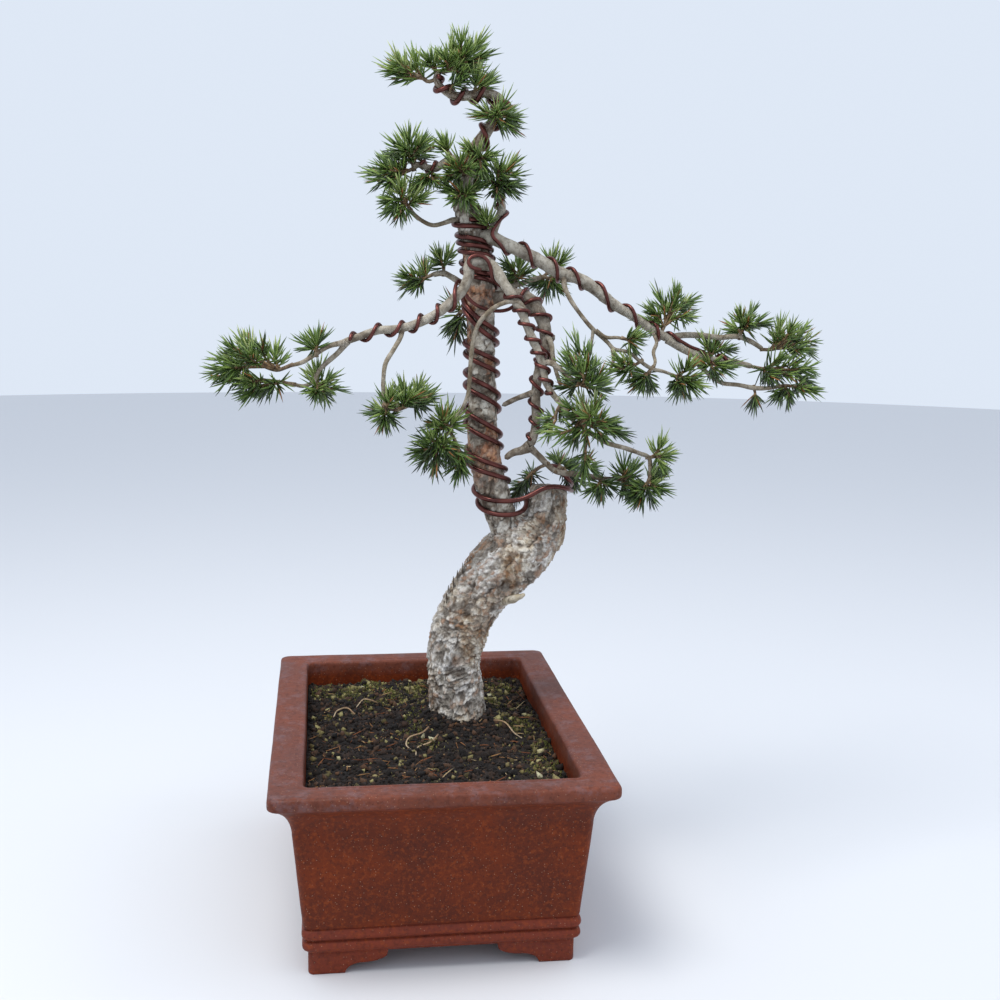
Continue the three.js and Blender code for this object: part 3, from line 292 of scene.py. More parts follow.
def rectangle_walk(straight, corner):
    """A walk round a rectangle with rounded corners, counter-clockwise: for each stop the share of the
    way across (x and y, -1 to 1) of the corner circle's middle, and the direction outwards."""
    quarter = np.linspace(0, np.pi / 2, corner)
    side = np.linspace(-1, 1, straight)[1:-1]
    stops = []
    for number, (x, y) in enumerate([(1, 1), (-1, 1), (-1, -1), (1, -1)]):
        angle = quarter + number * np.pi / 2
        stops.append(np.stack([x + 0 * angle, y + 0 * angle, np.cos(angle), np.sin(angle)], -1))
        out = (round(math.cos(angle[-1])), round(math.sin(angle[-1])))
        across = -x * side if out[1] else x + 0 * side
        down = -y * side if out[0] else y + 0 * side
        stops.append(np.stack([across, down, out[0] + 0 * side, out[1] + 0 * side], -1))
    return np.concatenate(stops)


def rectangles(walk, inset, corner, height):
    """Rounded rectangles, one for each inset from the rim's outline, corner radius and height: the
    middle of the nearest corner's circle plus the corner radius in the outward direction."""
    inset, corner, height = (np.asarray(part, float)[:, None] for part in (inset, corner, height))
    x = walk[:, 0] * (RIM_WIDTH / 2 - inset - corner) + walk[:, 2] * corner
    y = walk[:, 1] * (RIM_LENGTH / 2 - inset - corner) + walk[:, 3] * corner
    return np.stack([x, y, height + 0 * x], -1)


def tube_faces(rings, sides):
    """Quads between the neighbouring rings of a tube, all round."""
    ring = np.arange(rings - 1)[:, None] * sides
    side = np.arange(sides)[None, :]
    beside = (side + 1) % sides
    return np.stack([ring + side, ring + beside, ring + sides + beside, ring + sides + side],
                    -1).reshape(-1, 4)


def tube(rings, paint=None, finish=0):
    """A closed shell over an array of rings (ring, side, x y z), each end closed by a fan of triangles
    to the middle of its ring."""
    count, sides = rings.shape[:2]
    side = np.arange(sides)
    beside = (side + 1) % sides
    last = (count - 1) * sides
    start, end = count * sides, count * sides + 1
    points = np.concatenate([rings.reshape(-1, 3), rings[[0, -1]].mean(1)])
    if paint is None:
        paint = np.zeros((count, sides, 4))
    paint = np.concatenate([paint.reshape(-1, 4), paint[[0, -1]].mean(1)])
    fans = np.concatenate([
        np.stack([beside, side, np.full(sides, start)], -1),
        np.stack([last + side, last + beside, np.full(sides, end)], -1),
    ])
    return points, [tube_faces(count, sides), fans], paint, finish


def scrambled(cells, weights, seed):
    """A figure from 0 to 1 for each cell, as good as random: the decimals of a sine made large."""
    large = np.sin(cells @ weights + seed) * 43758.5453
    return large - np.floor(large)


def wander(points, size, seed):
    """Smooth random figures between -1 and 1: each corner of a lattice of cubes `size` mm across draws
    a figure, and a place in a cube eases between the figures of its eight corners."""
    lattice = np.asarray(points, float) / size
    cell = np.floor(lattice)
    rest = lattice - cell
    ease = rest * rest * (3 - 2 * rest)
    total = np.zeros(lattice.shape[:-1])
    for corner in np.ndindex(2, 2, 2):
        draw = scrambled(cell + corner, (127.1, 311.7, 74.7), seed * 17.31)
        weight = np.prod(np.where(np.array(corner) == 1, ease, 1 - ease), axis=-1)
        total = total + weight * (2 * draw - 1)
    return total


def half_round(middle, half_height, inset, depth, steps=9):
    """A bead's section from its lower edge to its upper one: inset and height on a half ellipse."""
    angle = np.linspace(-np.pi / 2, np.pi / 2, steps)
    return np.stack([inset - depth * np.cos(angle), middle + half_height * np.sin(angle)], -1)


def bend_between(start, control, end, steps):
    """A section's curve that leaves `start` towards `control` and reaches `end` coming from it."""
    t = np.linspace(0, 1, steps)[:, None]
    start, control, end = (np.array(part, float) for part in (start, control, end))
    return (1 - t) ** 2 * start + 2 * t * (1 - t) * control + t * t * end


pot_section = np.concatenate([
    [(34.5, POT_UNDERSIDE), (33, 20.2), (32, 21), (31.4, 22.2)],
    half_round(27.2, 4.7, 31.3, 3.6),
    [(31.2, 32.3)],
    half_round(37.8, 4.9, 30.8, 3.5),
    [(30.4, 43.2), (29.2, 43.6), (28.6, 45)],
    np.stack([np.linspace(28.3, 20, 16), np.linspace(48, 131, 16)], -1),
    bend_between((20, 133), (18, 153), (1.6, 161.4), 14),
    [(0.7, 162.2), (0.25, 163.2), (0.1, 164.6), (0.1, 167.6)],
    bend_between((0.15, 169), (0.4, 172.8), (4, POT_HEIGHT), 7),
    [(8, 173), (13, 172.9), (18, 172.8), (22.5, 172.6), (24, 172.2), (25.5, 172.6)],
    bend_between((27.2, 172.6), (30.2, 172.4), (30.3, 168.5), 6),
    [(30.4, 164), (30.4, 158), (30.5, 150), (30.9, 140), (32, 120), (36, 77), (39, 46), (42, 38),
     (46, POT_FLOOR)],
])
walk = rectangle_walk(STRAIGHT_STEPS, CORNER_STEPS)
inset, height = pot_section.T
corner = np.interp(height, [20, 60, 130, 165], [7, 7.5, 8.5, 9]) + np.where(inset > 38, 4, 0)
pot_rings = rectangles(walk, inset, corner, height)
uneven = 0.35 * (1 + wander(pot_rings, 60, 1)) + 0.12 * (1 + wander(pot_rings, 9, 2))
pot_rings[..., :2] -= uneven[..., None] * walk[:, 2:] * np.where(inset < 32, 1, 0)[:, None, None]
pot_rings[..., 2] -= np.where(height > 168, 1, 0)[:, None] * 0.2 * (1 + wander(pot_rings, 45, 3))
underside = [pot_rings[0] * (share, share, 1) for share in (0.15, 0.5, 0.8)]
floor_inside = [pot_rings[-1] * (share, share, 1) for share in (0.8, 0.5, 0.15)]
pot_rings = np.concatenate([underside, pot_rings, floor_inside])


def foot_sole(along, wide, narrow):
    """The height of a foot's lower edge at a distance from the pot's middle line: level out to `wide`,
    then a quarter-round hollow up, a small shoulder, and a second hollow up to the underside."""
    middle = wide - (wide - narrow) * 0.4
    lower = FOOT_STEP * np.sqrt(np.clip(1 - ((along - middle) / (wide - middle)) ** 2, 0, 1))
    upper = FOOT_STEP + 8 * (1 - np.sqrt(np.clip(1 - ((middle - along) / (middle - narrow)) ** 2, 0, 1)))
    sole = np.where(along > wide, 0, np.where(along > middle, lower, upper))
    return np.where(along <= narrow, POT_UNDERSIDE + 0.5, sole)


def foot(x_side, y_side):
    """A foot is the wall's L-shaped plan carried round a corner of the pot, its section a rounded bar
    whose lower edge follows the sole's height."""
    front = np.concatenate([np.linspace(47.6, 70, 16), np.linspace(70.6, 86, 22), np.linspace(90, 108, 4)])
    flank = np.concatenate([
        np.linspace(172, 134, 5), np.linspace(131, 107, 22), np.linspace(105, 89.6, 14)])
    bend = np.linspace(0, np.pi / 2, 7)
    outer_x, outer_y = RIM_WIDTH / 2 - FOOT_INSET, RIM_LENGTH / 2 - FOOT_INSET
    x = np.concatenate([front, outer_x - FOOT_CORNER + FOOT_CORNER * np.sin(bend), outer_x + 0 * flank])
    y = np.concatenate([outer_y + 0 * front, outer_y - FOOT_CORNER + FOOT_CORNER * np.cos(bend), flank])
    out_x = np.concatenate([0 * front, np.sin(bend), 1 + 0 * flank])[:, None]
    out_y = np.concatenate([1 + 0 * front, np.cos(bend), 0 * flank])[:, None]
    sole = np.concatenate([foot_sole(front, *FOOT_ENDS_ACROSS), 0 * bend, foot_sole(flank, *FOOT_ENDS_ALONG)])
    inward = np.array([0, 0, 0, 0.5, 1.6, 9, 15.4, 16.6, 17, 17, 17, 9])
    share = np.array([0, 0.5, 0.93, 0.985, 1, 1, 1, 0.985, 0.93, 0.5, 0, 0])
    at_corner = (out_x > 0) & (out_y > 0)
    shrink = inward * np.where(at_corner, 0.35, 1)
    deep = at_corner & (inward > FOOT_CORNER)
    rings = np.stack([
        np.where(deep, outer_x - inward, x[:, None] - shrink * out_x),
        np.where(deep, outer_y - inward, y[:, None] - shrink * out_y),
        POT_UNDERSIDE + 3 - share * (POT_UNDERSIDE + 3 - sole[:, None]),
    ], -1) * (x_side, y_side, 1)
    return rings if x_side * y_side < 0 else rings[::-1]


clay = Finish("red_clay")
spot = clay.place()
patches = clay.cloud(34, spot, 4, 0.6)
fine = clay.cloud(2.2, spot, 3, 0.7)
rust = clay.cloud(1.9, clay.shifted(spot, 0.5, 0.2, 0.9), 3, 0.7)
grit = clay.specks(3.4, spot)
dark_grit = clay.specks(4.0, clay.shifted(spot, 0.31, 0.17, 0.07))
height_of = clay.node("SeparateXYZ", {}, {"Vector": spot}, "Z")
rim_share = clay.between(height_of, 0.154, 0.166)
bead_share = clay.between(height_of, 0.046, 0.042)
# Painted sheen: pale bluish patches over the rim stand in for a reflection of the sky.
painted_rim_sheen = clay.between(clay.cloud(8, spot, 4, 0.7), 0.48, 0.66) * rim_share
patch_share = clay.between(patches, 0.35, 0.68)
skin_colour = clay.layered(
    clay.blend(patch_share, colour(88, 32, 10), colour(112, 43, 11)),
    (bead_share * 0.55, colour(126, 56, 42)),
    (rim_share, clay.blend(patch_share, colour(98, 52, 39), colour(118, 64, 48))),
    (painted_rim_sheen * 0.3, colour(122, 106, 112)),
    (clay.between(rust, 0.48, 0.68) * (0.42 - 0.25 * rim_share), colour(150, 68, 22)),
    (clay.between(fine, 0.46, 0.68) * 0.42, colour(58, 24, 16)),
    (clay.between(grit, 0.15, 0.06) * 0.6, colour(186, 142, 114)),
    (clay.between(dark_grit, 0.17, 0.07) * 0.75, colour(48, 26, 24)),
)
clay_relief = fine * 0.5 + clay.between(grit, 0.2, 0.08) * 0.35 + clay.cloud(9, spot) * 0.7
clay_finish = clay.surface(
    Base_Color=skin_colour,
    Roughness=clay.between(patches, 0.3, 0.7, 0.48, 0.62),
    Specular_IOR_Level=0.2,
    Normal=clay.bump(clay_relief, 0.5, 0.8),
)
pot = stitch("pot_body", [tube(pot_rings)], [clay_finish])
drain_ring = circle(DRAIN_SIDES, DRAIN_RADIUS)
drills = stitch("drills", [
    tube(np.stack([drain_ring + (0, side * DRAIN_OFFSET, height) for height in DRILLED_HEIGHTS]))
    for side in (-1, 1)], [clay_finish])
drilling = pot.modifiers.new("drain_holes", "BOOLEAN")
drilling.object = drills
drilling.solver = "EXACT"
drilled = bpy.data.meshes.new_from_object(pot.evaluated_get(bpy.context.evaluated_depsgraph_get()))
pot.modifiers.clear()
pot.data = drilled
bpy.data.objects.remove(drills)
feet = [tube(foot(x_side, y_side)) for x_side in (-1, 1) for y_side in (-1, 1)]
pot_feet = stitch("pot_feet", feet, [clay_finish])
for piece in (pot, pot_feet):
    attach(piece, "root")
    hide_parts("pot")

# THE SOIL. Dark crumbly peat, filled to a finger's width under the rim and heaped a little round the
# trunk, with cushions of moss, tan grit, a few pale stones, fine roots and fallen needles on it.
SOIL_EDGE = 147
SOIL_MOUND = 15
MOUND_REACH = 62
TRUNK_FOOT = (34, 30)
TRUNK_CLEARANCE = 31
SOIL_INSET = 31.4
SOIL_HALF_WIDTH = 118.6
SOIL_HALF_LENGTH = 182.6
SOIL_CORNER = 9.5
SOIL_GRID = (160, 245)
SOIL_SIDE_CUTS = [(32.8, 120), (39.8, 46), (43, 38.8), (47, 34.8)]
CRUMBS = 11000
HEAP_CRUMBS = 520
MOSS_STRANDS = 6500
FALLEN_NEEDLES = 230
CRUMB_TONES = [(15, 10, 8), (42, 29, 21), (92, 64, 44)]
GRIT_TONES = [(70, 60, 32), (112, 100, 58), (170, 160, 108)]
MOSS_PATCHES = [
    (-90, 150, 34, 1), (-45, 165, 30, 0.9), (-25, 120, 34, 0.9), (-70, 110, 26, 0.6), (5, 150, 30, 0.9),
    (0, 40, 22, 0.9), (-6, 0, 26, 0.9), (0, -38, 20, 0.8), (98, -150, 30, 1.1), (106, -95, 28, 1.1),
    (108, -40, 26, 1), (100, 15, 32, 0.9), (92, 75, 34, 1), (60, 130, 34, 0.9), (100, 150, 30, 1),
    (70, 25, 20, 0.7), (-104, 60, 20, 0.5),
]


def soil_level(x, y):
    """The fill's height: a mound round the trunk and a long ripple, fading to level at the walls."""
    share = np.clip(np.maximum(abs(x) / SOIL_HALF_WIDTH, abs(y) / SOIL_HALF_LENGTH), 0, 1)
    from_trunk = np.hypot(x - TRUNK_FOOT[0], y - TRUNK_FOOT[1])
    mound = SOIL_MOUND * np.exp(-(from_trunk / MOUND_REACH) ** 2)
    ripple = 1.6 * np.sin(x * 0.09 + 1) * np.cos(y * 0.07)
    return SOIL_EDGE + (1 - share ** 4) * (mound + ripple + 3)


def flat(x, y):
    """Places on the level, for noise that doesn't change with height."""
    return np.stack([x, y, 0 * x], -1)


def mossiness(x, y):
    """How mossy a place is, 0 to 1: round patches that fade outwards, frayed by noise."""
    total = sum(strength * np.exp(-((x - mx) ** 2 + (y - my) ** 2) / reach ** 2)
                for mx, my, reach, strength in MOSS_PATCHES)
    fray = 0.45 * wander(flat(x, y), 14, 11) + 0.35 * wander(flat(x, y), 5, 12)
    return np.clip(total * 0.85 + fray - 0.38, 0, 1)


def soil_top(x, y):
    """The crumbled surface: the fill's height, moss cushions and crumbs of two sizes."""
    place = flat(x, y)
    moss = mossiness(x, y)
    crumbled = (2.6 * abs(wander(place, 7.5, 13)) + 1.6 * abs(wander(place, 3.6, 14))
                + 2.2 * wander(place, 24, 15))
    clods = 3.2 * np.clip(wander(place, 13, 16), 0, 1) * (1 - moss)
    return soil_level(x, y) + crumbled + clods - 2.2 + 1.2 * moss


def on_soil(x, y, lift=0.0):
    """Places on the crumbled surface, or a lift above it."""
    return np.stack([x, y, soil_top(x, y) + lift], -1)


def shades(share, *tones):
    """Colours for shares from 0 to 1, eased through the given screen colours in even steps."""
    stops = np.array([colour(*tone)[:3] for tone in tones])
    at = np.linspace(0, 1, len(stops))
    return np.stack([np.interp(share, at, stops[:, k]) for k in range(3)], -1)


def painted(tones, fourth=0.0):
    """Paint from colours and a fourth figure."""
    return np.concatenate([tones, np.broadcast_to(fourth, tones.shape[:-1])[..., None]], -1)


def over(tones, share, others):
    """Tones with other tones laid over them, by a share for each point."""
    share = share[..., None]
    return tones * (1 - share) + others * share


soil_x, soil_y = np.meshgrid(*(np.linspace(-1, 1, count) for count in SOIL_GRID), indexing="ij")
soil_x, soil_y = soil_x * SOIL_HALF_WIDTH, soil_y * SOIL_HALF_LENGTH
past_x = abs(soil_x) - (SOIL_HALF_WIDTH - SOIL_CORNER)
past_y = abs(soil_y) - (SOIL_HALF_LENGTH - SOIL_CORNER)
outside = np.clip(np.hypot(np.clip(past_x, 0, None), np.clip(past_y, 0, None)) / SOIL_CORNER, 1, None)
soil_x = np.where(outside > 1, np.sign(soil_x) * (SOIL_HALF_WIDTH - SOIL_CORNER + past_x / outside), soil_x)
soil_y = np.where(outside > 1, np.sign(soil_y) * (SOIL_HALF_LENGTH - SOIL_CORNER + past_y / outside), soil_y)
soil_surface = on_soil(soil_x, soil_y)
rows, columns = soil_x.shape
number = np.arange(rows * columns).reshape(rows, columns)
corners = [number[:-1, :-1], number[1:, :-1], number[1:, 1:], number[:-1, 1:]]
soil_faces = np.stack(corners, -1).reshape(-1, 4)
edge = np.concatenate([number[:-1, 0], number[-1, :-1], number[:0:-1, -1], number[0, :0:-1]])
edge_places = soil_surface.reshape(-1, 3)[edge]
sides_down = np.stack([
    edge_places * (1 - (cut - SOIL_INSET) / SOIL_HALF_WIDTH, 1 - (cut - SOIL_INSET) / SOIL_HALF_LENGTH, 0)
    + (0, 0, low) for cut, low in SOIL_SIDE_CUTS])
around = np.arange(len(edge))
beside = (around + 1) % len(edge)
below = rows * columns + around
wall_faces = np.stack([edge[around], below, rows * columns + beside, edge[beside]], -1)
deeper_faces = tube_faces(4, len(edge))[:, ::-1] + rows * columns
bottom = rows * columns + 4 * len(edge)
bottom_faces = np.stack([bottom - len(edge) + beside, bottom - len(edge) + around,
                         np.full(len(edge), bottom)], -1)
soil_points = np.concatenate([
    soil_surface.reshape(-1, 3), sides_down.reshape(-1, 3), [(0, 0, SOIL_SIDE_CUTS[-1][1])]])
# Painted shade: the peat and the moss are painted darker in the hollows of the crumbled surface and lighter
# on its tops.
hollow = np.clip((soil_surface[..., 2] - soil_level(soil_x, soil_y) + 1.4) / 4, 0, 1)
peat_tones = shades(0.55 * hollow + 0.45 * np.clip(wander(soil_surface, 4, 16) + 0.4, 0, 1),
                    (12, 8, 6), (28, 19, 14), (54, 38, 28))
moss_tones = shades(hollow, (30, 27, 17), (58, 52, 28), (88, 82, 42))
soil_tones = over(peat_tones, mossiness(soil_x, soil_y), moss_tones)
soil_paint = np.concatenate([painted(soil_tones.reshape(-1, 3)),
                             painted(np.broadcast_to(soil_tones[0, 0], (4 * len(edge) + 1, 3)))])
peat = Finish("peat")
peat_spot = peat.place()
peat_grain = peat.cloud(1.6, peat_spot, 4, 0.7)
peat_finish = peat.surface(
    Base_Color=peat.blend(peat.between(peat_grain, 0.45, 0.7) * 0.5, peat.paint(), colour(20, 14, 11)),
    Roughness=0.95,
    Normal=peat.bump(peat_grain + peat.cloud(3.5, peat_spot) * 0.8, 1.1),
)
soil = stitch("soil_fill", [(soil_points, [soil_faces, wall_faces, deeper_faces, bottom_faces],
                             soil_paint, 0)], [peat_finish])

soil_luck = np.random.default_rng(41)


def turned(shapes, luck):
    """Each of a stack of shapes turned at random: a random unit quaternion written out as a matrix."""
    quaternions = luck.normal(size=(4, len(shapes)))
    w, x, y, z = quaternions / np.linalg.norm(quaternions, axis=0)
    turns = np.stack([
        1 - 2 * (y * y + z * z), 2 * (x * y - z * w), 2 * (x * z + y * w),
        2 * (x * y + z * w), 1 - 2 * (x * x + z * z), 2 * (y * z - x * w),
        2 * (x * z - y * w), 2 * (y * z + x * w), 1 - 2 * (x * x + y * y)], -1).reshape(-1, 3, 3)
    return shapes @ turns


def crumbs(places, sizes, tones, luck, squash=0.75):
    """Angular crumbs: octahedra with uneven corners, flattened and turned at random."""
    corners = np.array([(1, 0, 0), (0, 1, 0), (-1, 0, 0), (0, -1, 0), (0, 0, 1), (0, 0, -1)], float)
    shapes = corners * luck.uniform(0.7, 1.25, (len(places), 6, 1)) * (1, 1, squash)
    shapes = turned(shapes, luck) * sizes[:, None, None] + places[:, None, :]
    sides = [(0, 1, 4), (1, 2, 4), (2, 3, 4), (3, 0, 4), (1, 0, 5), (2, 1, 5), (3, 2, 5), (0, 3, 5)]
    faces = np.arange(len(places))[:, None, None] * 6 + np.array(sides)
    paint = painted(np.repeat(tones, 6, 0))
    return shapes.reshape(-1, 3), [faces.reshape(-1, 3)], paint, 0


def strewn(count):
    """Random places on the soil, clear of the trunk."""
    x = soil_luck.uniform(-SOIL_HALF_WIDTH + 2, SOIL_HALF_WIDTH - 2, count)
    y = soil_luck.uniform(-SOIL_HALF_LENGTH + 2, SOIL_HALF_LENGTH - 2, count)
    clear = np.hypot(x - TRUNK_FOOT[0], y - TRUNK_FOOT[1]) > TRUNK_CLEARANCE
    return x[clear], y[clear]


def strands(starts, headings, bends, lengths, widths, tones):
    """Slender three-sided strands, needles among them: the middle line is the start, plus the heading
    times the way along, plus the bend times its square; the section thins to a point at the tip."""
    way = np.array([0, 0.36, 0.72, 1])
    count = len(starts)
    line = (starts[:, None] + headings[:, None] * (lengths[:, None] * way)[..., None]
            + bends[:, None] * (lengths[:, None] * way ** 2)[..., None])
    aside = unit(np.cross(headings, np.where(abs(headings[:, 2:]) > 0.8, (1.0, 0, 0), (0, 0, 1.0))))
    other = np.cross(headings, aside)
    angle = 0.3 + np.arange(3) * 2 * np.pi / 3
    out = aside[:, None] * np.cos(angle)[None, :, None] + other[:, None] * np.sin(angle)[None, :, None]
    half = widths[:, None] / 2 * (0.75, 1, 0.8)
    rings = line[:, :3, None] + out[:, None] * half[:, :, None, None]
    points = np.concatenate([rings.reshape(count, 9, 3), line[:, 3:]], 1)
    quads = tube_faces(3, 3)
    one = np.concatenate([quads[:, [0, 1, 2]], quads[:, [0, 2, 3]],
                          [(6, 7, 9), (7, 8, 9), (8, 6, 9), (2, 1, 0)]])
    faces = np.arange(count)[:, None, None] * 10 + one
    shade = np.repeat(tones, 10, 0)
    fourth = np.tile(np.repeat(way, (3, 3, 3, 1)), count)
    return points.reshape(-1, 3), [faces.reshape(-1, 3)], painted(shade, fourth), 0


x, y = strewn(CRUMBS)
green = mossiness(x, y)
size = soil_luck.gamma(2.0, 0.8, len(x)).clip(0.7, 5.2)
gritty = soil_luck.uniform(0, 1, len(x)) < 0.07 + 0.5 * green
tones = np.where(gritty[:, None],
                 shades(soil_luck.uniform(0, 1, len(x)) ** 1.5, *GRIT_TONES),
                 shades(soil_luck.uniform(0, 1, len(x)) ** 2, *CRUMB_TONES))
places = on_soil(x, y, 0.15 * size)
turn = soil_luck.uniform(0, 2 * np.pi, HEAP_CRUMBS)
reach = TRUNK_CLEARANCE + soil_luck.gamma(1.5, 3.5, HEAP_CRUMBS)
heap_x, heap_y = TRUNK_FOOT[0] + reach * np.cos(turn), TRUNK_FOOT[1] + reach * np.sin(turn)
heap_size = soil_luck.uniform(1.6, 4.2, HEAP_CRUMBS)
piled = (44 - reach).clip(0) * 0.32 * soil_luck.uniform(0, 1, HEAP_CRUMBS)
heap_places = on_soil(heap_x, heap_y, piled)
heap_tones = shades(soil_luck.uniform(0, 1, HEAP_CRUMBS) ** 2, *CRUMB_TONES)
soil_crumbs = stitch("soil_crumbs", [
    crumbs(places, size, tones, soil_luck),
    crumbs(heap_places, heap_size, heap_tones, soil_luck),
], [peat_finish])

x, y = strewn(4 * MOSS_STRANDS)
grows = soil_luck.uniform(0.15, 1, len(x)) < mossiness(x, y)
x, y = x[grows][:MOSS_STRANDS], y[grows][:MOSS_STRANDS]
count = len(x)
starts = on_soil(x, y, -0.6)
headings = unit(np.stack([
    soil_luck.normal(0, 0.42, count), soil_luck.normal(0, 0.42, count), np.ones(count)], -1))
bends = soil_luck.normal(0, 0.2, (count, 3))
tones = shades(0.75 * soil_luck.uniform(0, 1, count) + 0.25 * np.clip(wander(starts, 12, 17) + 0.5, 0, 1),
               (38, 40, 16), (78, 84, 30), (118, 116, 52), (156, 146, 92))
moss = stitch("moss", [strands(
    starts, headings, bends, soil_luck.uniform(1.6, 4.2, count), soil_luck.uniform(0.9, 1.7, count), tones,
)], [peat_finish])

x, y = strewn(FALLEN_NEEDLES)
starts = on_soil(x, y, soil_luck.uniform(0.6, 2, len(x)))
way = soil_luck.uniform(0, 2 * np.pi, len(x))
headings = unit(np.stack([np.cos(way), np.sin(way), soil_luck.normal(0, 0.12, len(x))], -1))
far_end = abs(starts + 20 * headings)
inside = (far_end[:, 0] < SOIL_HALF_WIDTH - 3) & (far_end[:, 1] < SOIL_HALF_LENGTH - 4.6)
starts, headings = starts[inside], headings[inside]
count = len(starts)
tones = shades(soil_luck.uniform(0, 1, count), (96, 48, 26), (140, 84, 48), (168, 124, 78), (196, 172, 130))
litter = stitch("fallen_needles", [strands(
    starts, headings, soil_luck.normal(0, 0.12, (count, 3)),
    soil_luck.uniform(8, 20, count), soil_luck.uniform(0.8, 1.3, count), tones,
)], [peat_finish])

STONES = [
    (-98, 88, 4.5), (-72, 70, 3.4), (-34, 60, 3.2), (-30, 62, 2.6), (2, -30, 4.2), (-6, -22, 3.6),
    (66, -100, 3.8), (70, -112, 3.4), (104, -62, 4.2), (98, -82, 3.6), (92, -128, 4.6), (106, -132, 4.8),
    (84, -150, 3.4), (110, -160, 4.0), (-56, -110, 3.0), (-20, -140, 2.6), (14, -120, 2.6),
    (-88, -60, 3.0), (104, 40, 3.8), (74, 96, 3.4), (96, 120, 3.6), (-104, -165, 3.8), (40, -168, 2.6),
    (-60, 150, 3.6), (-6, 172, 3.2),
]
stone_x, stone_y, stone_size = np.array(STONES).T
tones = shades(soil_luck.uniform(0, 1, len(STONES)), (122, 108, 70), (168, 156, 108), (206, 200, 164))
places = on_soil(stone_x, stone_y, 0.4 * stone_size)
stones = stitch("pale_stones", [crumbs(places, 1.15 * stone_size, tones, soil_luck, 0.55)], [peat_finish])


def through(points, places):
    """Places along a smooth line through points, counted in points from its start: the centripetal
    Catmull-Rom curve, a cubic whose slopes weigh each span by the square root of its length."""
    points = np.asarray(points, float)
    lone = np.concatenate([[2 * points[0] - points[1]], points, [2 * points[-1] - points[-2]]])
    span = np.clip(np.floor(places).astype(int), 0, len(points) - 2)
    t = (places - span)[:, None]
    before, start, end, after = (lone[span + k] for k in range(4))
    first, middle, last = (np.sqrt(np.linalg.norm(b - a, axis=1))[:, None].clip(1e-4)
                           for a, b in ((before, start), (start, end), (end, after)))
    leave = ((start - before) / first - (end - before) / (first + middle) + (end - start) / middle) * middle
    reach = ((end - start) / middle - (after - start) / (middle + last) + (after - end) / last) * middle
    return (start + leave * t + (3 * (end - start) - 2 * leave - reach) * t ** 2
            + (2 * (start - end) + leave + reach) * t ** 3)


def distance_along(line):
    """Millimetres from the start of a line to each of its stations."""
    return np.concatenate([[0], np.cumsum(np.linalg.norm(np.diff(line, axis=0), axis=1))])


STEPS_PER_SPAN = 14


def stations(points, spacing):
    """Even stations along the smooth line through points, and their places counted in points."""
    fine = np.linspace(0, len(points) - 1, STEPS_PER_SPAN * (len(points) - 1) + 1)
    line = through(points, fine)
    run = distance_along(line)
    places = np.interp(np.linspace(0, run[-1], max(3, round(run[-1] / spacing))), run, fine)
    return through(points, places), places


def carried(line):
    """Two directions across a line at each station, carried on from the station before by the smallest
    turn that follows the bend: the matrix 1 + K + K K / (1 + cosine), with K the bend's cross product."""
    along = unit(np.gradient(line, axis=0))
    axis = np.cross(along[:-1], along[1:])
    cosine = np.clip((along[:-1] * along[1:]).sum(1), -1, 1)[:, None, None]
    cross = np.zeros((len(axis), 3, 3))
    cross[:, [2, 0, 1], [1, 2, 0]] = axis
    cross[:, [1, 2, 0], [2, 0, 1]] = -axis
    bends = np.eye(3) + cross + cross @ cross / (1 + cosine)
    front = np.array([0, -1, 0]) if abs(along[0, 1]) < 0.8 else np.array([1.0, 0, 0])
    front = unit(front - along[0] * (front @ along[0]))
    across = np.array(list(accumulate(bends, lambda direction, bend: bend @ direction, initial=front)))
    return across, np.cross(along, across)


def ring_round(line, radius, sides):
    """Rings of points about the stations of a line. The radius is one figure for each station, or also
    one for each side."""
    across, other = carried(line)
    angle = np.linspace(0, 2 * np.pi, sides, endpoint=False)
    out = across[:, None] * np.cos(angle)[:, None] + other[:, None] * np.sin(angle)[:, None]
    radius = np.asarray(radius)
    if radius.ndim == 1:
        radius = radius[:, None]
    return line[:, None] + out * (radius * np.ones(sides))[..., None]


ROOTS = [
    [(0, -12, 3), (-8, -26, 6), (-20, -32, 5), (-24, -44, 2), (-18, -54, 0)],
    [(8, -28, 4), (-2, -46, 6), (-14, -52, 3), (-16, -62, 0)],
    [(66, -2, 4), (76, -10, 7), (84, -24, 4), (92, -26, 0)],
    [(-44, 96, 0), (-52, 90, 5), (-60, 94, 5), (-68, 84, 0)],
    [(-70, 64, 0), (-78, 72, 5), (-88, 70, 4), (-92, 60, 0)],
]
ROOT_SPACING = 2.5
root_shells = []
for places in ROOTS:
    line, _ = stations(np.array(places, float), ROOT_SPACING)
    line[:, 2] += soil_level(line[:, 0], line[:, 1]) + 0.4
    thin = np.linspace(0.95, 0.5, len(line))
    age = np.linspace(0.2, 0.9, len(line))[:, None] + np.zeros(8)
    tones = shades(age, (110, 76, 54), (176, 146, 112), (214, 194, 164))
    root_shells.append(tube(ring_round(line, thin, 8), painted(tones)))
surface_roots = stitch("surface_roots", root_shells, [peat_finish])

for piece in (soil, soil_crumbs, moss, litter, stones, surface_roots):
    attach(piece, "root")
    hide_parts("soil")

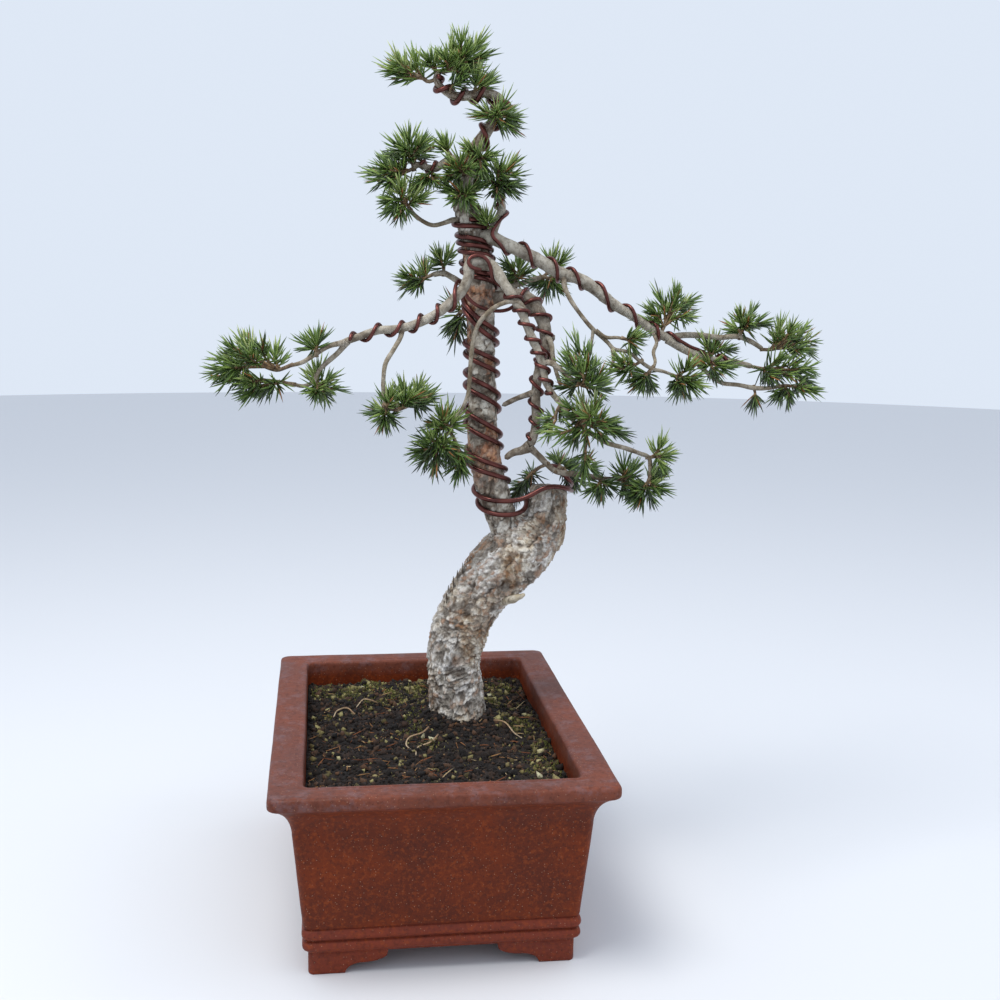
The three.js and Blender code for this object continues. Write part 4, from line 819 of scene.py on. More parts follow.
# THE WOOD. A pine trunk that leans, comes back over itself and stands up beside its own cut-off stub,
# and the branches that grow from it. It is one piece of wood, skinned here in three: the old trunk
# under thick flaky plates, the younger trunk above, and the branches. x, y, z and radius from the root.
LIMBS = {
    "trunk": [(35, 30, 135, 30.5), (33, 30, 162, 27.5), (30, 30, 195, 27), (28, 30, 222, 26.5),
        (32, 30, 242, 28), (42, 30, 266, 28), (55, 30, 288, 29.5), (74, 30, 311, 32.5), (96, 30, 332, 33),
        (115, 30, 352, 27), (121, 30, 372, 20), (123, 30, 394, 18)],
    "upper": [(90, 30, 336, 18), (76, 28, 362, 15.5), (66, 26, 389, 15.5), (58, 26, 419, 15.5),
        (55, 28, 450, 14.8), (54, 30, 484, 14.2), (53, 30, 521, 13.2), (52, 30, 557, 13.4),
        (51, 30, 586, 14.4), (48, 30, 613, 13.2), (43, 30, 637, 12), (36, 30, 660, 11), (33, 30, 680, 9.5),
        (38, 30, 699, 7.5), (44, 30, 717, 6.5), (55, 30, 734, 5.5), (62, 32, 745, 5), (68, 34, 755, 5),
        (69, 34, 763, 5), (63, 32, 768, 4.5), (52, 30, 770, 4.5), (39, 29, 767, 4.5), (25, 28, 766, 4),
        (13, 28, 772, 3.5), (7, 28, 780, 3), (8, 28, 786, 2.6)],
    "left": [(49, 22, 607, 6), (55, 8, 612, 6), (45, -1, 614, 6), (37, -3, 610, 6), (36, -4, 599, 6),
        (31, -6, 588, 5.5), (20, -9, 576, 5.5), (7, -12, 565, 5), (-10, -15, 556, 5), (-29, -18, 550, 4.5),
        (-50, -21, 548, 4.5), (-68, -24, 542, 4), (-82, -26, 537, 3.5)],
    "left_up": [(-80, -26, 537, 3.5), (-94, -28, 534, 2.9), (-106, -30, 527, 2.7), (-119, -32, 519, 2.6),
        (-130, -34, 516, 2.3)],
    "left_low": [(-78, -26, 538, 3.5), (-86, -24, 528, 2.9), (-96, -22, 519, 2.8), (-104, -22, 511, 2.6),
        (-109, -24, 501, 2.4), (-118, -27, 497, 2.2), (-128, -30, 499, 2)],
    "hanging": [(-27, -18, 550, 2.8), (-29, -22, 542, 2.6), (-36, -25, 530, 2.5), (-43, -27, 518, 2.5),
        (-45, -28, 503, 2.3), (-45, -28, 490, 2), (-43, -28, 479, 1.9)],
    "front": [(52, 14, 611, 5.5), (59, 4, 609, 6), (68, -4, 595, 5.5), (77, -9, 581, 5.5),
        (85, -13, 568, 5), (90, -16, 554, 4.5), (96, -19, 540, 4.5), (101, -22, 528, 4.5),
        (105, -25, 515, 4), (107, -28, 502, 4), (112, -31, 493, 3.5), (119, -34, 484, 3)],
    "dark": [(55, 30, 577, 8), (70, 26, 579, 7.5), (85, 20, 582, 7.5), (95, 16, 579, 7.5),
        (103, 12, 570, 7.5), (110, 9, 557, 7.5), (112, 6, 542, 6.5), (111, 4, 528, 6), (107, 3, 515, 6),
        (104, 3, 500, 5.5), (103, 3, 482, 5), (104, 3, 465, 5), (102, 3, 449, 5), (98, 3, 437, 4.5)],
    "dark_inner": [(98, 3, 437, 4.5), (91, 5, 433, 4), (82, 8, 430, 3.5), (75, 11, 424, 2.9)],
    "dark_low": [(98, 3, 436, 3.5), (106, 2, 429, 3), (115, 1, 420, 3), (124, 0, 413, 3),
        (137, -2, 411, 2.9), (151, -4, 410, 2.7), (166, -6, 407, 2.5), (184, -8, 406, 2)],
    "dark_side": [(102, 3, 489, 3.5), (94, 4, 487, 2.7), (82, 6, 482, 2.5), (71, 9, 476, 2.3)],
    "arch": [(88, -13, 568, 2.8), (83, -14, 575, 2.8), (74, -13, 576, 2.8), (63, -10, 572, 2.7),
        (53, -7, 564, 2.6), (45, -4, 553, 2.6), (41, -3, 538, 2.6), (39, -3, 521, 2.5), (38, -3, 502, 2.5),
        (36, -4, 486, 2.4), (30, -6, 473, 2.3), (22, -8, 464, 2.1), (19, -10, 453, 1.9)],
    "right": [(46, 30, 634, 7.5), (59, 22, 636, 7.5), (71, 20, 631, 7.5), (85, 20, 625, 7.5),
        (101, 22, 618, 7.5), (118, 24, 609, 7.5), (131, 26, 602, 7.5), (146, 28, 599, 7), (159, 30, 592, 7),
        (173, 32, 582, 6.5), (189, 34, 571, 6), (204, 36, 563, 5.5), (219, 38, 553, 5.5), (234, 40, 545, 5),
        (247, 41, 538, 4.5)],
    "right_up": [(242, 41, 541, 4), (257, 44, 544, 4), (277, 47, 544, 4), (299, 50, 542, 3.5),
        (318, 52, 543, 3.5), (333, 54, 538, 3), (347, 56, 530, 2.7)],
    "right_mid": [(242, 41, 540, 4.5), (257, 41, 531, 4.5), (271, 42, 525, 4.5), (287, 43, 520, 4.5),
        (302, 44, 519, 4), (317, 45, 517, 3.5), (333, 46, 513, 2.9)],
    "right_low": [(272, 42, 518, 3), (285, 40, 506, 2.8), (299, 38, 497, 2.8), (316, 38, 495, 2.8),
        (333, 38, 492, 2.8), (350, 38, 492, 2.6), (360, 38, 494, 2.2)],
    "drooping": [(131, 24, 601, 4), (132, 16, 589, 3.5), (137, 10, 577, 3), (146, 6, 564, 3),
        (156, 3, 552, 3), (164, 2, 545, 3), (172, 1, 538, 2.9), (178, 0, 532, 2.9), (192, 0, 529, 2.7),
        (205, 2, 520, 2.7), (217, 4, 513, 2.7), (230, 6, 510, 2.5), (241, 8, 506, 2.2)],
    "drooping_twig_a": [(160, 2, 549, 2.3), (170, 0, 543, 1.9), (180, -2, 543, 1.7), (187, -4, 542, 1.4)],
    "drooping_twig_b": [(177, 0, 532, 1.9), (177, -3, 521, 1.7), (173, -6, 510, 1.4)],
    "drooping_twig_c": [(158, 3, 550, 1.7), (156, 0, 538, 1.5), (154, -6, 525, 1.3)],
    "curly": [(223, 38, 551, 2.2), (227, 34, 543, 2.2), (228, 30, 537, 2.1), (224, 26, 528, 2.1),
        (224, 18, 519, 2), (220, 10, 513, 2)],
    "front_up": [(103, -22, 518, 2.8), (110, -26, 520, 2.8), (118, -30, 516, 2.6), (127, -34, 508, 2.4),
        (134, -37, 503, 2.1)],
    "side_stem": [(113, 2, 544, 2.9), (116, -4, 536, 2.5), (117, -8, 525, 2.3), (120, -12, 510, 2.1),
        (124, -17, 497, 1.9)],
    "front_end": [(117, -33, 487, 2.6), (121, -35, 482, 2.4), (127, -38, 473, 2.3), (134, -41, 465, 2.1)],
    "low_long": [(134, -41, 465, 2.3), (150, -40, 454, 2.3), (166, -36, 445, 2.3), (183, -32, 440, 2.3),
        (200, -29, 434, 2.1), (209, -27, 430, 2.1), (211, -27, 421, 2), (210, -28, 410, 1.7)],
    "left_back": [(43, 32, 588, 4), (35, 44, 592, 3.5), (26, 54, 598, 3), (18, 60, 602, 3),
        (7, 66, 600, 2.6)],
    "right_back": [(63, 36, 584, 4), (77, 48, 588, 3), (90, 58, 591, 2.8), (105, 66, 596, 2.6),
        (119, 72, 600, 2.2)],
    "upright": [(58, 24, 634, 5.5), (62, 24, 643, 5.5), (66, 25, 652, 5), (70, 26, 660, 5),
        (70, 26, 668, 4.5), (66, 25, 675, 4), (64, 24, 680, 3)],
    "upper_left": [(39, 30, 699, 5), (31, 25, 705, 4.5), (22, 20, 708, 4.5), (14, 17, 704, 4),
        (6, 15, 698, 4), (-3, 14, 699, 3.5), (-11, 14, 701, 3.5), (-16, 14, 697, 2.8)],
    "thin_left": [(37, 30, 650, 3.5), (25, 26, 652, 2.9), (16, 22, 649, 2.6), (4, 18, 646, 2.5),
        (-7, 14, 650, 2.4), (-15, 11, 656, 2.2), (-19, 9, 661, 2.1)],
    "dark_curl": [(112, 4, 540, 2.9), (117, 2, 544, 2.7), (120, 1, 540, 2.5)],
    "dark_stub": [(111, 4, 528, 2.9), (102, 0, 531, 2.5)],
}


def plates(around, along, count, length, seed):
    """Bark plates: scattered seeds, one to a cell of a lattice with `count` cells round the limb and
    cells `length` long. Gives the distance, in cells, by which the second nearest seed is further than
    the nearest (small in the cracks), the nearest plate's own random figure, and the way across it."""
    cell = np.stack([np.floor(around * count), np.floor(along / length)], -1)
    best = np.full(around.shape, 9.0)
    second = best.copy()
    figure = np.zeros(around.shape)
    slope = np.zeros(around.shape)
    for shift in np.ndindex(3, 3):
        near = cell + np.array(shift) - 1
        wrapped = np.stack([near[..., 0] % count, near[..., 1]], -1)
        draws = [scrambled(wrapped, (12.9898, 78.233), seed + k * 3.7) for k in range(3)]
        gap_x = near[..., 0] + 0.12 + 0.76 * draws[0] - around * count
        gap_y = near[..., 1] + 0.12 + 0.76 * draws[1] - along / length
        distance = np.hypot(gap_x, gap_y)
        nearer = distance < best
        second = np.where(nearer, best, np.minimum(second, distance))
        figure = np.where(nearer, draws[2], figure)
        slope = np.where(nearer, gap_y, slope)
        best = np.where(nearer, distance, best)
    return second - best, figure, slope


def smooth(figure, low, high):
    """0 below low, 1 above high, eased in between."""
    t = np.clip((figure - low) / (high - low), 0, 1)
    return t * t * (3 - 2 * t)


SLIMMER = {
    "right": 0.82, "right_up": 0.8, "right_mid": 0.85, "right_low": 0.82, "left": 0.86, "left_up": 0.8,
    "left_low": 0.85, "hanging": 0.9, "drooping": 0.68, "arch": 0.85, "dark": 0.86, "upright": 0.85,
    "upper_left": 0.85, "front": 0.86, "thin_left": 0.85, "curly": 0.85,
}


def limb(name, spacing, sides):
    """A limb's middle line and radius at even stations, and for each side of each station its distance
    from the limb's root in millimetres and its share of a turn."""
    points = np.array(LIMBS[name], float)
    line, places = stations(points[:, :3], spacing)
    radius = np.interp(places, np.arange(len(points)), points[:, 3]) * SLIMMER.get(name, 1)
    share = np.linspace(0, 1, sides, endpoint=False)
    run = distance_along(line)[:, None] + 0 * share
    return line, radius, run, share + 0 * run


def tone(red, green, blue):
    """A screen colour as paint."""
    return np.array(colour(red, green, blue)[:3])


OLD_SIDES = 220
OLD_SPACING = 0.9
line, radius, run, share = limb("trunk", OLD_SPACING, OLD_SIDES)
smooth_skin = ring_round(line, radius, OLD_SIDES)
height = smooth_skin[..., 2]
ragged = wander(smooth_skin, 5, 21)
frayed = wander(smooth_skin, 2.4, 20)
pull = run + 9 * wander(smooth_skin, 24, 24)
twist = share + 0.05 * wander(smooth_skin * (1, 1, 0.6), 21, 22)
crack, plate, _ = plates(twist + 0.022 * ragged + 0.01 * frayed, pull + 4.5 * ragged + 1.6 * frayed, 8, 30, 3)
shingle_crack, shingle, shingle_tilt = plates(
    twist + 0.014 * ragged + 0.008 * frayed, pull + 2.6 * ragged + 1.5 * frayed, 24, 9, 5)
chip_crack, chip, chip_tilt = plates(
    twist + 0.006 * ragged + 0.006 * frayed, pull + 2 * ragged + frayed, 50, 4.2, 6)
open_share = smooth(wander(smooth_skin, 13, 26), -0.3, 0.35)
closed_share = smooth(wander(smooth_skin, 8, 19), -0.1, 0.3)
roots = smooth(182 - height, 0, 46)
lobes = 0.5 + 0.5 * np.cos(2 * np.pi * (share * 5 + 0.12 * wander(smooth_skin, 40, 27)))
crack = crack + 0.3 * (1 - open_share)
ridge = smooth(crack, 0.0, 0.24)
shingle_edge = smooth(shingle_crack, 0.0, 0.2)
relief = (ridge * (1.3 + 1.4 * plate) + 1.9 * shingle_tilt * shingle_edge + 0.7 * shingle_edge * shingle
          + 0.9 * chip_tilt + 0.5 * chip - 2.9 + 1.1 * wander(smooth_skin, 26, 28) + 0.4 * ragged
          + 0.35 * frayed + roots * (1 + 8 * lobes * smooth(172 - height, 0, 36))
          - 2.4 * smooth(run, run.max() - 4, run.max()))
rings = ring_round(line, radius[:, None] + relief, OLD_SIDES)

# Its colours, each over the last: grey and cream plates, stripped chips, brown seams between shingles
# darkened partly by painted shade, flecks, deep cracks, earth at the foot, a darker stub, its cut face and
# the painted shade in the fork.
lightness = np.clip(0.3 * plate + 0.4 * shingle + 0.4 * chip + 0.35 * ragged + 0.2 * frayed, 0, 1)
lightness = smooth(lightness, 0.12, 0.95)
warm = smooth(wander(smooth_skin * (1, 1, 0.5), 20, 18) + 0.6 * (shingle - 0.5), -0.2, 0.5)
tones = over(
    shades(lightness, (92, 84, 76), (146, 138, 128), (196, 190, 182), (236, 232, 226)), warm,
    shades(lightness, (116, 90, 66), (166, 142, 114), (204, 188, 164), (232, 224, 208)))
stripped = smooth(chip + 0.5 * wander(smooth_skin, 14, 29) + 0.3 * ragged, 0.72, 1.0)
tones = over(tones, 0.8 * stripped, tone(150, 106, 70))
# Seam colour and painted shade: the seams between shingles, in the gaps under their lifted ends, are painted
# a darker brown, partly the bark's own colour there and partly shade.
seam_colour_and_shade = (1 - smooth(shingle_crack, 0.0, 0.16)) * (0.25 + 0.75 * closed_share)
tones = over(tones, 0.7 * seam_colour_and_shade, shades(chip, (74, 55, 42), (122, 92, 66)))
flecked = (1 - smooth(chip_crack, 0.0, 0.2)) * (1 - 0.7 * closed_share)
tones = over(tones, 0.4 * flecked, tone(92, 72, 55))
tones = over(tones, 0.9 * (1 - smooth(crack, 0.0, 0.1)), shades(shingle, (40, 30, 25), (78, 54, 38)))
tones = over(tones, 0.75 * smooth(168 - height + 8 * ragged, 0, 22), tone(62, 50, 38))
tones = tones * (1.08 - 0.3 * smooth(height, 330, 372)[..., None])
cut = smooth(run, run.max() - 6, run.max() - 2)
tones = over(tones, 0.6 * cut, shades(np.clip(0.5 + ragged, 0, 1), (84, 68, 54), (168, 154, 134)))
fork = np.exp(-(np.linalg.norm(smooth_skin - (109, 2, 358), axis=-1) / 10) ** 2)
tones = over(tones, 0.7 * fork, tone(52, 38, 30))

bark = Finish("bark")
bark_spot = bark.place()
bark_fine = bark.cloud(1.3, bark_spot, 5, 0.75)
bark_mid = bark.cloud(5, bark_spot, 4, 0.65)
bark_streaks = bark.cloud(2.6, bark.place(1, 1, 0.38), 4, 0.7)
bark_colour = bark.layered(
    bark.paint(),
    (bark.between(bark_mid, 0.42, 0.62) * 0.36, colour(204, 196, 182)),
    (bark.between(bark_fine, 0.5, 0.64) * 0.46, colour(86, 70, 54)),
    (bark.between(bark_streaks, 0.53, 0.68) * 0.5, colour(72, 56, 44)),
)
bark_finish = bark.surface(
    Base_Color=bark_colour,
    Roughness=0.9,
    Specular_IOR_Level=0.3,
    Normal=bark.bump(bark_fine * 0.6 + bark_mid * 0.5 + bark_streaks * 1.1, 1.5),
)
old_trunk = stitch("old_trunk", [tube(rings, painted(tones, ridge))], [bark_finish])

# The young trunk's bark is thinner: small scales, orange where they have peeled, smooth near the apex.
YOUNG_SIDES = 88
YOUNG_SPACING = 1.15
line, radius, run, share = limb("upper", YOUNG_SPACING, YOUNG_SIDES)
smooth_skin = ring_round(line, radius, YOUNG_SIDES)
height = smooth_skin[..., 2]
ragged = wander(smooth_skin, 4, 31)
frayed = wander(smooth_skin, 2, 30)
twist = share + 0.05 * wander(smooth_skin, 11, 32)
pull = run + 5 * wander(smooth_skin, 13, 33)
scale_crack, scale, scale_tilt = plates(
    twist + 0.03 * ragged + 0.015 * frayed, pull + 3 * ragged + frayed, 6, 16, 7)
fine_crack, fine_scale, fine_tilt = plates(
    twist + 0.02 * ragged + 0.015 * frayed, pull + 2 * ragged + frayed, 16, 5.4, 8)
scale_crack = scale_crack + 0.25 * smooth(wander(smooth_skin, 10, 29), 0, 0.3)
thick = smooth(radius, 5, 13)[:, None]
relief = thick * (1.1 * smooth(scale_crack, 0.0, 0.24) * (0.3 + scale) + 0.9 * scale_tilt - 1.1
                  + 0.35 * smooth(fine_crack, 0, 0.25) + 0.4 * fine_tilt + 0.7 * wander(smooth_skin, 14, 34))
relief = np.clip(relief, -1.5, 0.5)
rings = ring_round(line, radius[:, None] + relief, YOUNG_SIDES)
scaly = smooth(np.clip(0.5 * scale + 0.5 * fine_scale + 0.35 * ragged + 0.25 * frayed, 0, 1), 0.1, 0.9)
peeled = np.clip(fine_scale + 0.4 * ragged + 0.3 * frayed, 0, 1)
rusty = smooth(wander(smooth_skin * (1, 1, 0.7), 15, 35) + 0.5 * (fine_scale - 0.5) + 0.3 * frayed, 0.0, 0.3)
rusty = rusty * smooth(height, 372, 424) * smooth(660 - height, 0, 40)
tones = over(
    shades(scaly, (84, 72, 62), (140, 126, 110), (190, 180, 164), (222, 216, 204)), 0.85 * rusty,
    shades(peeled, (72, 40, 26), (150, 86, 50), (196, 134, 88)))
seam = 1 - smooth(fine_crack + 0.05 * ragged, 0.0, 0.16)
tones = over(tones, 0.5 * seam * thick, tone(92, 66, 48))
tones = over(tones, 0.9 * (1 - smooth(scale_crack, 0.0, 0.12)) * thick, tone(46, 34, 27))
tones = over(tones, 0.5 * (1 - thick), tone(112, 92, 72))
young_trunk = stitch("young_trunk", [tube(rings, painted(tones, thick * fine_scale))], [bark_finish])

STOUT_BOUGH = 4
STOUT_SPACING = 1.8
SLIM_SPACING = 2.4
branch_shells = []
for number, name in enumerate(name for name in LIMBS if name not in ("trunk", "upper")):
    thickest = max(point[3] for point in LIMBS[name])
    sides = 20 if thickest > 6 else 16 if thickest > STOUT_BOUGH else 10
    line, radius, run, _ = limb(name, STOUT_SPACING if thickest > STOUT_BOUGH else SLIM_SPACING, sides)
    run = run[:, 0]
    knots = 0.10 * smooth(wander(line + number * 50, 9, 41), 0.25, 0.7)
    collar = 0.30 * np.exp(-run / (1.6 * radius[0]))
    nose = np.sqrt(np.clip(1 - ((run - run[-1]) / radius[-1] + 1).clip(0, 1) ** 2, 0.04, 1))
    radius = radius * (1 + knots + collar) * nose
    smooth_skin = ring_round(line, radius, sides) + number * 50
    scaly = wander(smooth_skin, 3.4, 42)
    rings = ring_round(line, radius[:, None] * (1 + 0.05 * scaly) - 0.05, sides)
    weathered = np.clip(0.55 + 0.35 * scaly + 0.3 * wander(smooth_skin, 16, 43), 0, 1)
    thin = smooth(4.2 - radius, 0, 2.2)[:, None]
    tones = over(
        shades(weathered, (98, 88, 76), (152, 143, 128), (192, 186, 172)), thin,
        shades(weathered, (78, 66, 50), (124, 110, 90), (160, 148, 128)))
    # Painted shade: the branches whose names start with dark are the same bark painted at about half
    # brightness, as if lying in shade.
    if name.startswith("dark"):
        tones = tones * (0.52, 0.47, 0.44)
    branch_shells.append(tube(rings, painted(tones, 0.5)))
branches = stitch("branches", branch_shells, [bark_finish])

# A broken-off dead twig and loose flakes of bark stand proud of the old trunk.
SNAG = np.array([
    (66, 24, 280, 5.2), (74, 12, 282, 4.8), (84, 4, 285, 4), (92, 0, 289, 2.6), (95, -1, 291, 1.4)])
SNAG_SIDES = 14
SNAG_SPACING = 1.2
line, places = stations(SNAG[:, :3], SNAG_SPACING)
radius = np.interp(places, np.arange(len(SNAG)), SNAG[:, 3])
skin = ring_round(line, radius, SNAG_SIDES)
rings = ring_round(line, radius[:, None] * (1 + 0.2 * wander(skin, 3, 45)), SNAG_SIDES)
tones = shades(0.5 + 0.5 * wander(skin, 4, 46), (150, 132, 104), (198, 184, 158), (222, 214, 196))
snag = stitch("snag", [tube(rings, painted(tones, 0.5))], [bark_finish])
FLAKES = [
    (18, 22, 276, 9), (20, 18, 284, 12), (22, 22, 292, 10), (27, 20, 299, 13), (31, 24, 306, 10),
    (36, 20, 313, 12), (41, 24, 320, 8), (62, 14, 344, 8)]
FLAKE_SIDES = 9
FLAKE_OUTWARD = np.array([-0.62, -0.3, 0.1])
flake_luck = np.random.default_rng(71)
flake_shells = []
for x, y, z, length in FLAKES:
    turn = np.linspace(0, 2 * np.pi, FLAKE_SIDES, endpoint=False)
    sheet = np.stack([2.4 * np.cos(turn), 4 * np.sin(turn), 0.5 * length * np.cos(turn + 0.35)], -1)
    sheet = sheet * flake_luck.uniform(0.75, 1.2, (FLAKE_SIDES, 1))
    rings = np.stack([
        sheet * size + rise * FLAKE_OUTWARD for size, rise in ((0.35, 0), (1, 0.3), (0.94, 0.9), (0.3, 1.1))])
    rings = rings + (x, y, z) + rings[..., 2:] * (-0.42, 0, 0)
    flake_shells.append(tube(rings, painted(np.broadcast_to(tone(84, 70, 58), rings.shape), 0.3)))
flakes = stitch("bark_flakes", flake_shells, [bark_finish])
for piece in (old_trunk, young_trunk, branches, snag, flakes):
    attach(piece, "root")
    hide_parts("wood")

# THE TRAINING WIRES. Soft aluminium wire, anodised dark reddish brown, wound on by hand: a thick pair
# anchored on the stub climbs the trunk, and thinner single wires go out along the branches. A list of
# places, in points from the limb's root, tells where each turn of a wire crosses the front of the limb.
TRUNK_WIRE = 2.45
BRANCH_WIRE = 1.8
STEPS_A_TURN = 16
WIRE_SIDES = 12
LAID_CLOSE = 0.15
SLANT = 0.72
SETTLING_ROUNDS = 60
LOWEST_WIRED = 330
CLOSEST_PLACES = 3
ROUTE_SPACING = 6
WIRE_SPACING = 2.4
UPPER_STRAND_ANCHOR = [
    (146, 30, 389), (132, 10, 396), (117, 6, 399), (106, 7, 393), (98, 9, 384), (88, 8, 383)]
LOWER_STRAND_ANCHOR = [
    (124, 34, 405), (134, 16, 403), (149, 32, 396), (140, 54, 386), (118, 54, 384), (103, 32, 382),
    (98, 12, 372), (88, 7, 369)]
UPPER_STRAND_HEIGHTS = [383, 420, 458, 497, 525, 554, 601, 606, 628, 646, 664]
LOWER_STRAND_HEIGHTS = [369, 410, 444, 484, 515, 544, 595, 597, 621, 636, 652]
STRAND_TURNS = [0, 1, 2, 3, 4, 5, 5.75, 6, 7, 8, 9]
APEX_TURNS = [12.4, 13.6, 14.8, 16.3, 18.4, 20.4, 21.6, 22.8, 24.4]
LEFT_TO_DARK = [
    (27, 3, 601), (31, 6, 590), (34, 14, 580), (40, 10, 573), (51, 8, 568), (63, 11, 566), (73, 13, 565),
    (83, 11, 568)]
UPRIGHT_TO_RIGHT = [(67, 14, 650), (60, 13, 644), (54, 14, 638), (55, 13, 634), (62, 11, 634)]
FRONT_WIRE_HOOK = [
    (47, -9, 605), (38, -11, 603), (30, -8, 609), (34, -6, 618), (44, -8, 622), (53, -6, 620),
    (57, -5, 611), (60, -6, 602), (65, 2, 594)]


def at_heights(name, heights):
    """Places up a limb, in points from its root, at given heights."""
    climb = np.maximum.accumulate([point[2] for point in LIMBS[name]])
    return np.interp(heights, climb, np.arange(len(climb)))


def wound(name, where, gauge, first_turn=0.0, lift=0.0, hand=1, turns=None):
    """Points of a wire round a limb: the turn number rises evenly from mark to mark, and each point lies
    the limb's radius plus the wire's own out from the limb's middle line, turned from the front by the
    turn number, clockwise as seen from the limb's end, or the other way with hand -1. A turn climbs more
    across the front than behind."""
    points = np.array(LIMBS[name], float)
    turns = range(len(where)) if turns is None else turns
    outward = np.sign(where[-1] - where[0])
    turn = np.linspace(first_turn, turns[-1], round((turns[-1] - first_turn) * STEPS_A_TURN) + 1)
    slanted = (turn + SLANT * np.sin(2 * np.pi * turn) / (2 * np.pi)).clip(turns[0], turns[-1])
    places = np.interp(slanted, turns, where)
    middle = through(points[:, :3], places)
    after = through(points[:, :3], (places + 0.01).clip(max=len(points) - 1.001))
    along = unit(after - through(points[:, :3], (places - 0.01).clip(min=0)))
    front = unit(np.array([0, -1, 0]) + along * along[:, 1:2])
    side = np.cross(along, front)
    angle = (-2 * np.pi * turn * outward * hand)[:, None]
    radius = np.interp(places, np.arange(len(points)), points[:, 3]) * SLIMMER.get(name, 1)
    reach = (radius + gauge + LAID_CLOSE + lift)[:, None]
    return middle + reach * (front * np.cos(angle) + side * np.sin(angle))


def solid_pieces(line, radius):
    """The straight pieces between the stations of a line: both ends and both radii."""
    return np.concatenate([line[:-1], line[1:], radius[:-1, None], radius[1:, None]], 1)


def settled(points, gauge, solids):
    """Pushes each point of a wire straight out of whichever piece it sinks into most, again and again,
    and evens the wire a little between the pushes."""
    a, b, ra, rb = solids[:, :3], solids[:, 3:6], solids[:, 6], solids[:, 7]
    reach = b - a
    for _ in range(SETTLING_ROUNDS):
        t = (((points[:, None] - a) * reach).sum(-1) / (reach * reach).sum(-1)).clip(0, 1)
        away = points[:, None] - (a + reach * t[..., None])
        distance = np.linalg.norm(away, axis=-1)
        lack = ra + (rb - ra) * t + gauge + LAID_CLOSE - distance
        worst = lack.argmax(1)
        row = np.arange(len(points))
        push = lack[row, worst].clip(0)[:, None] * away[row, worst] / distance[row, worst][:, None]
        points = points + push
        even = points.copy()
        even[1:-1] = 0.25 * points[:-2] + 0.5 * points[1:-1] + 0.25 * points[2:]
        points = points + 0.12 * (even - points)
    return points + 0.9 * push


def routed(*parts):
    """One route through several lists of places, thinned where neighbours stand too close together."""
    joined = np.concatenate([np.asarray(part, float) for part in parts])
    kept = [joined[0]]
    for place in joined[1:]:
        if np.linalg.norm(place - kept[-1]) > CLOSEST_PLACES:
            kept.append(place)
    return stations(np.array(kept), ROUTE_SPACING)[0]


solids = np.concatenate([solid_pieces(*limb(name, ROUTE_SPACING, sides=3)[:2]) for name in LIMBS])
solids = solids[np.minimum(solids[:, 2], solids[:, 5]) > LOWEST_WIRED]
WIRES = {
    "wire_trunk_upper_strand": (TRUNK_WIRE, routed(
        UPPER_STRAND_ANCHOR,
        wound("upper", at_heights("upper", UPPER_STRAND_HEIGHTS), TRUNK_WIRE, turns=STRAND_TURNS),
        wound("upper", APEX_TURNS, TRUNK_WIRE, 0.6, 0.9))),
    "wire_trunk_lower_strand": (TRUNK_WIRE, routed(
        LOWER_STRAND_ANCHOR,
        wound("upper", at_heights("upper", LOWER_STRAND_HEIGHTS), TRUNK_WIRE, turns=STRAND_TURNS))),
    "wire_left_and_dark": (BRANCH_WIRE, routed(
        wound("left", [11.6, 10.3, 9.1, 8.2, 7.1, 6.0], BRANCH_WIRE, 0, 0.4),
        LEFT_TO_DARK,
        wound("dark", [2.2, 3.4, 4.5, 5.8, 7, 8, 9.3, 10.4, 11.4, 12.6], BRANCH_WIRE, 0.2, 0.4))),
    "wire_front": (BRANCH_WIRE, routed(
        FRONT_WIRE_HOOK,
        wound("front", [2.2, 3.2, 4, 5, 6, 7, 8, 9, 10.2], BRANCH_WIRE, 0.4, 0.4))),
    "wire_right_and_upright": (BRANCH_WIRE, routed(
        wound("upright", [5.6, 4.2, 2.6], BRANCH_WIRE, 0, 0.2, -1),
        UPRIGHT_TO_RIGHT,
        wound("right", [2, 3.7, 5.4, 6.9, 9.1, 11.1, 12.8, 13.8], BRANCH_WIRE, 0, 0.2, -1),
        wound("right_mid", [1.1, 2.85, 4.1], BRANCH_WIRE, 0.6, 0.2, -1))),
    "wire_upper_left": (BRANCH_WIRE, routed(
        wound("upper_left", [2.3, 4.2, 5.7], BRANCH_WIRE, 0, 0.4))),
}
anodised = Finish("anodised_wire")
wire_spot = anodised.place()
wire_patches = anodised.cloud(7, wire_spot, 4, 0.6)
wire_rub = anodised.between(anodised.cloud(2.4, wire_spot, 4, 0.7), 0.56, 0.74)
wire_colour = anodised.layered(
    colour(82, 47, 43),
    (anodised.between(wire_patches, 0.3, 0.7), colour(108, 62, 56)),
    (wire_rub * 0.35, colour(150, 98, 92)),
)
wire_finish = anodised.surface(
    Base_Color=wire_colour,
    Metallic=0.8,
    Roughness=anodised.between(wire_patches, 0.3, 0.7, 0.26, 0.4),
    Normal=anodised.bump(anodised.cloud(1.3, wire_spot) + wire_patches, 0.25, 0.6),
)
for name, (gauge, route) in WIRES.items():
    laid = settled(route, gauge, solids)
    solids = np.concatenate([solids, solid_pieces(laid, np.full(len(laid), gauge))])
    line, _ = stations(laid, WIRE_SPACING)
    radius = gauge * np.concatenate([[0.82], np.ones(len(line) - 2), [0.82]])
    wire = stitch(name + "_skin", [tube(ring_round(line, radius, WIRE_SIDES))], [wire_finish])
    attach(wire, "root")
    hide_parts(name)

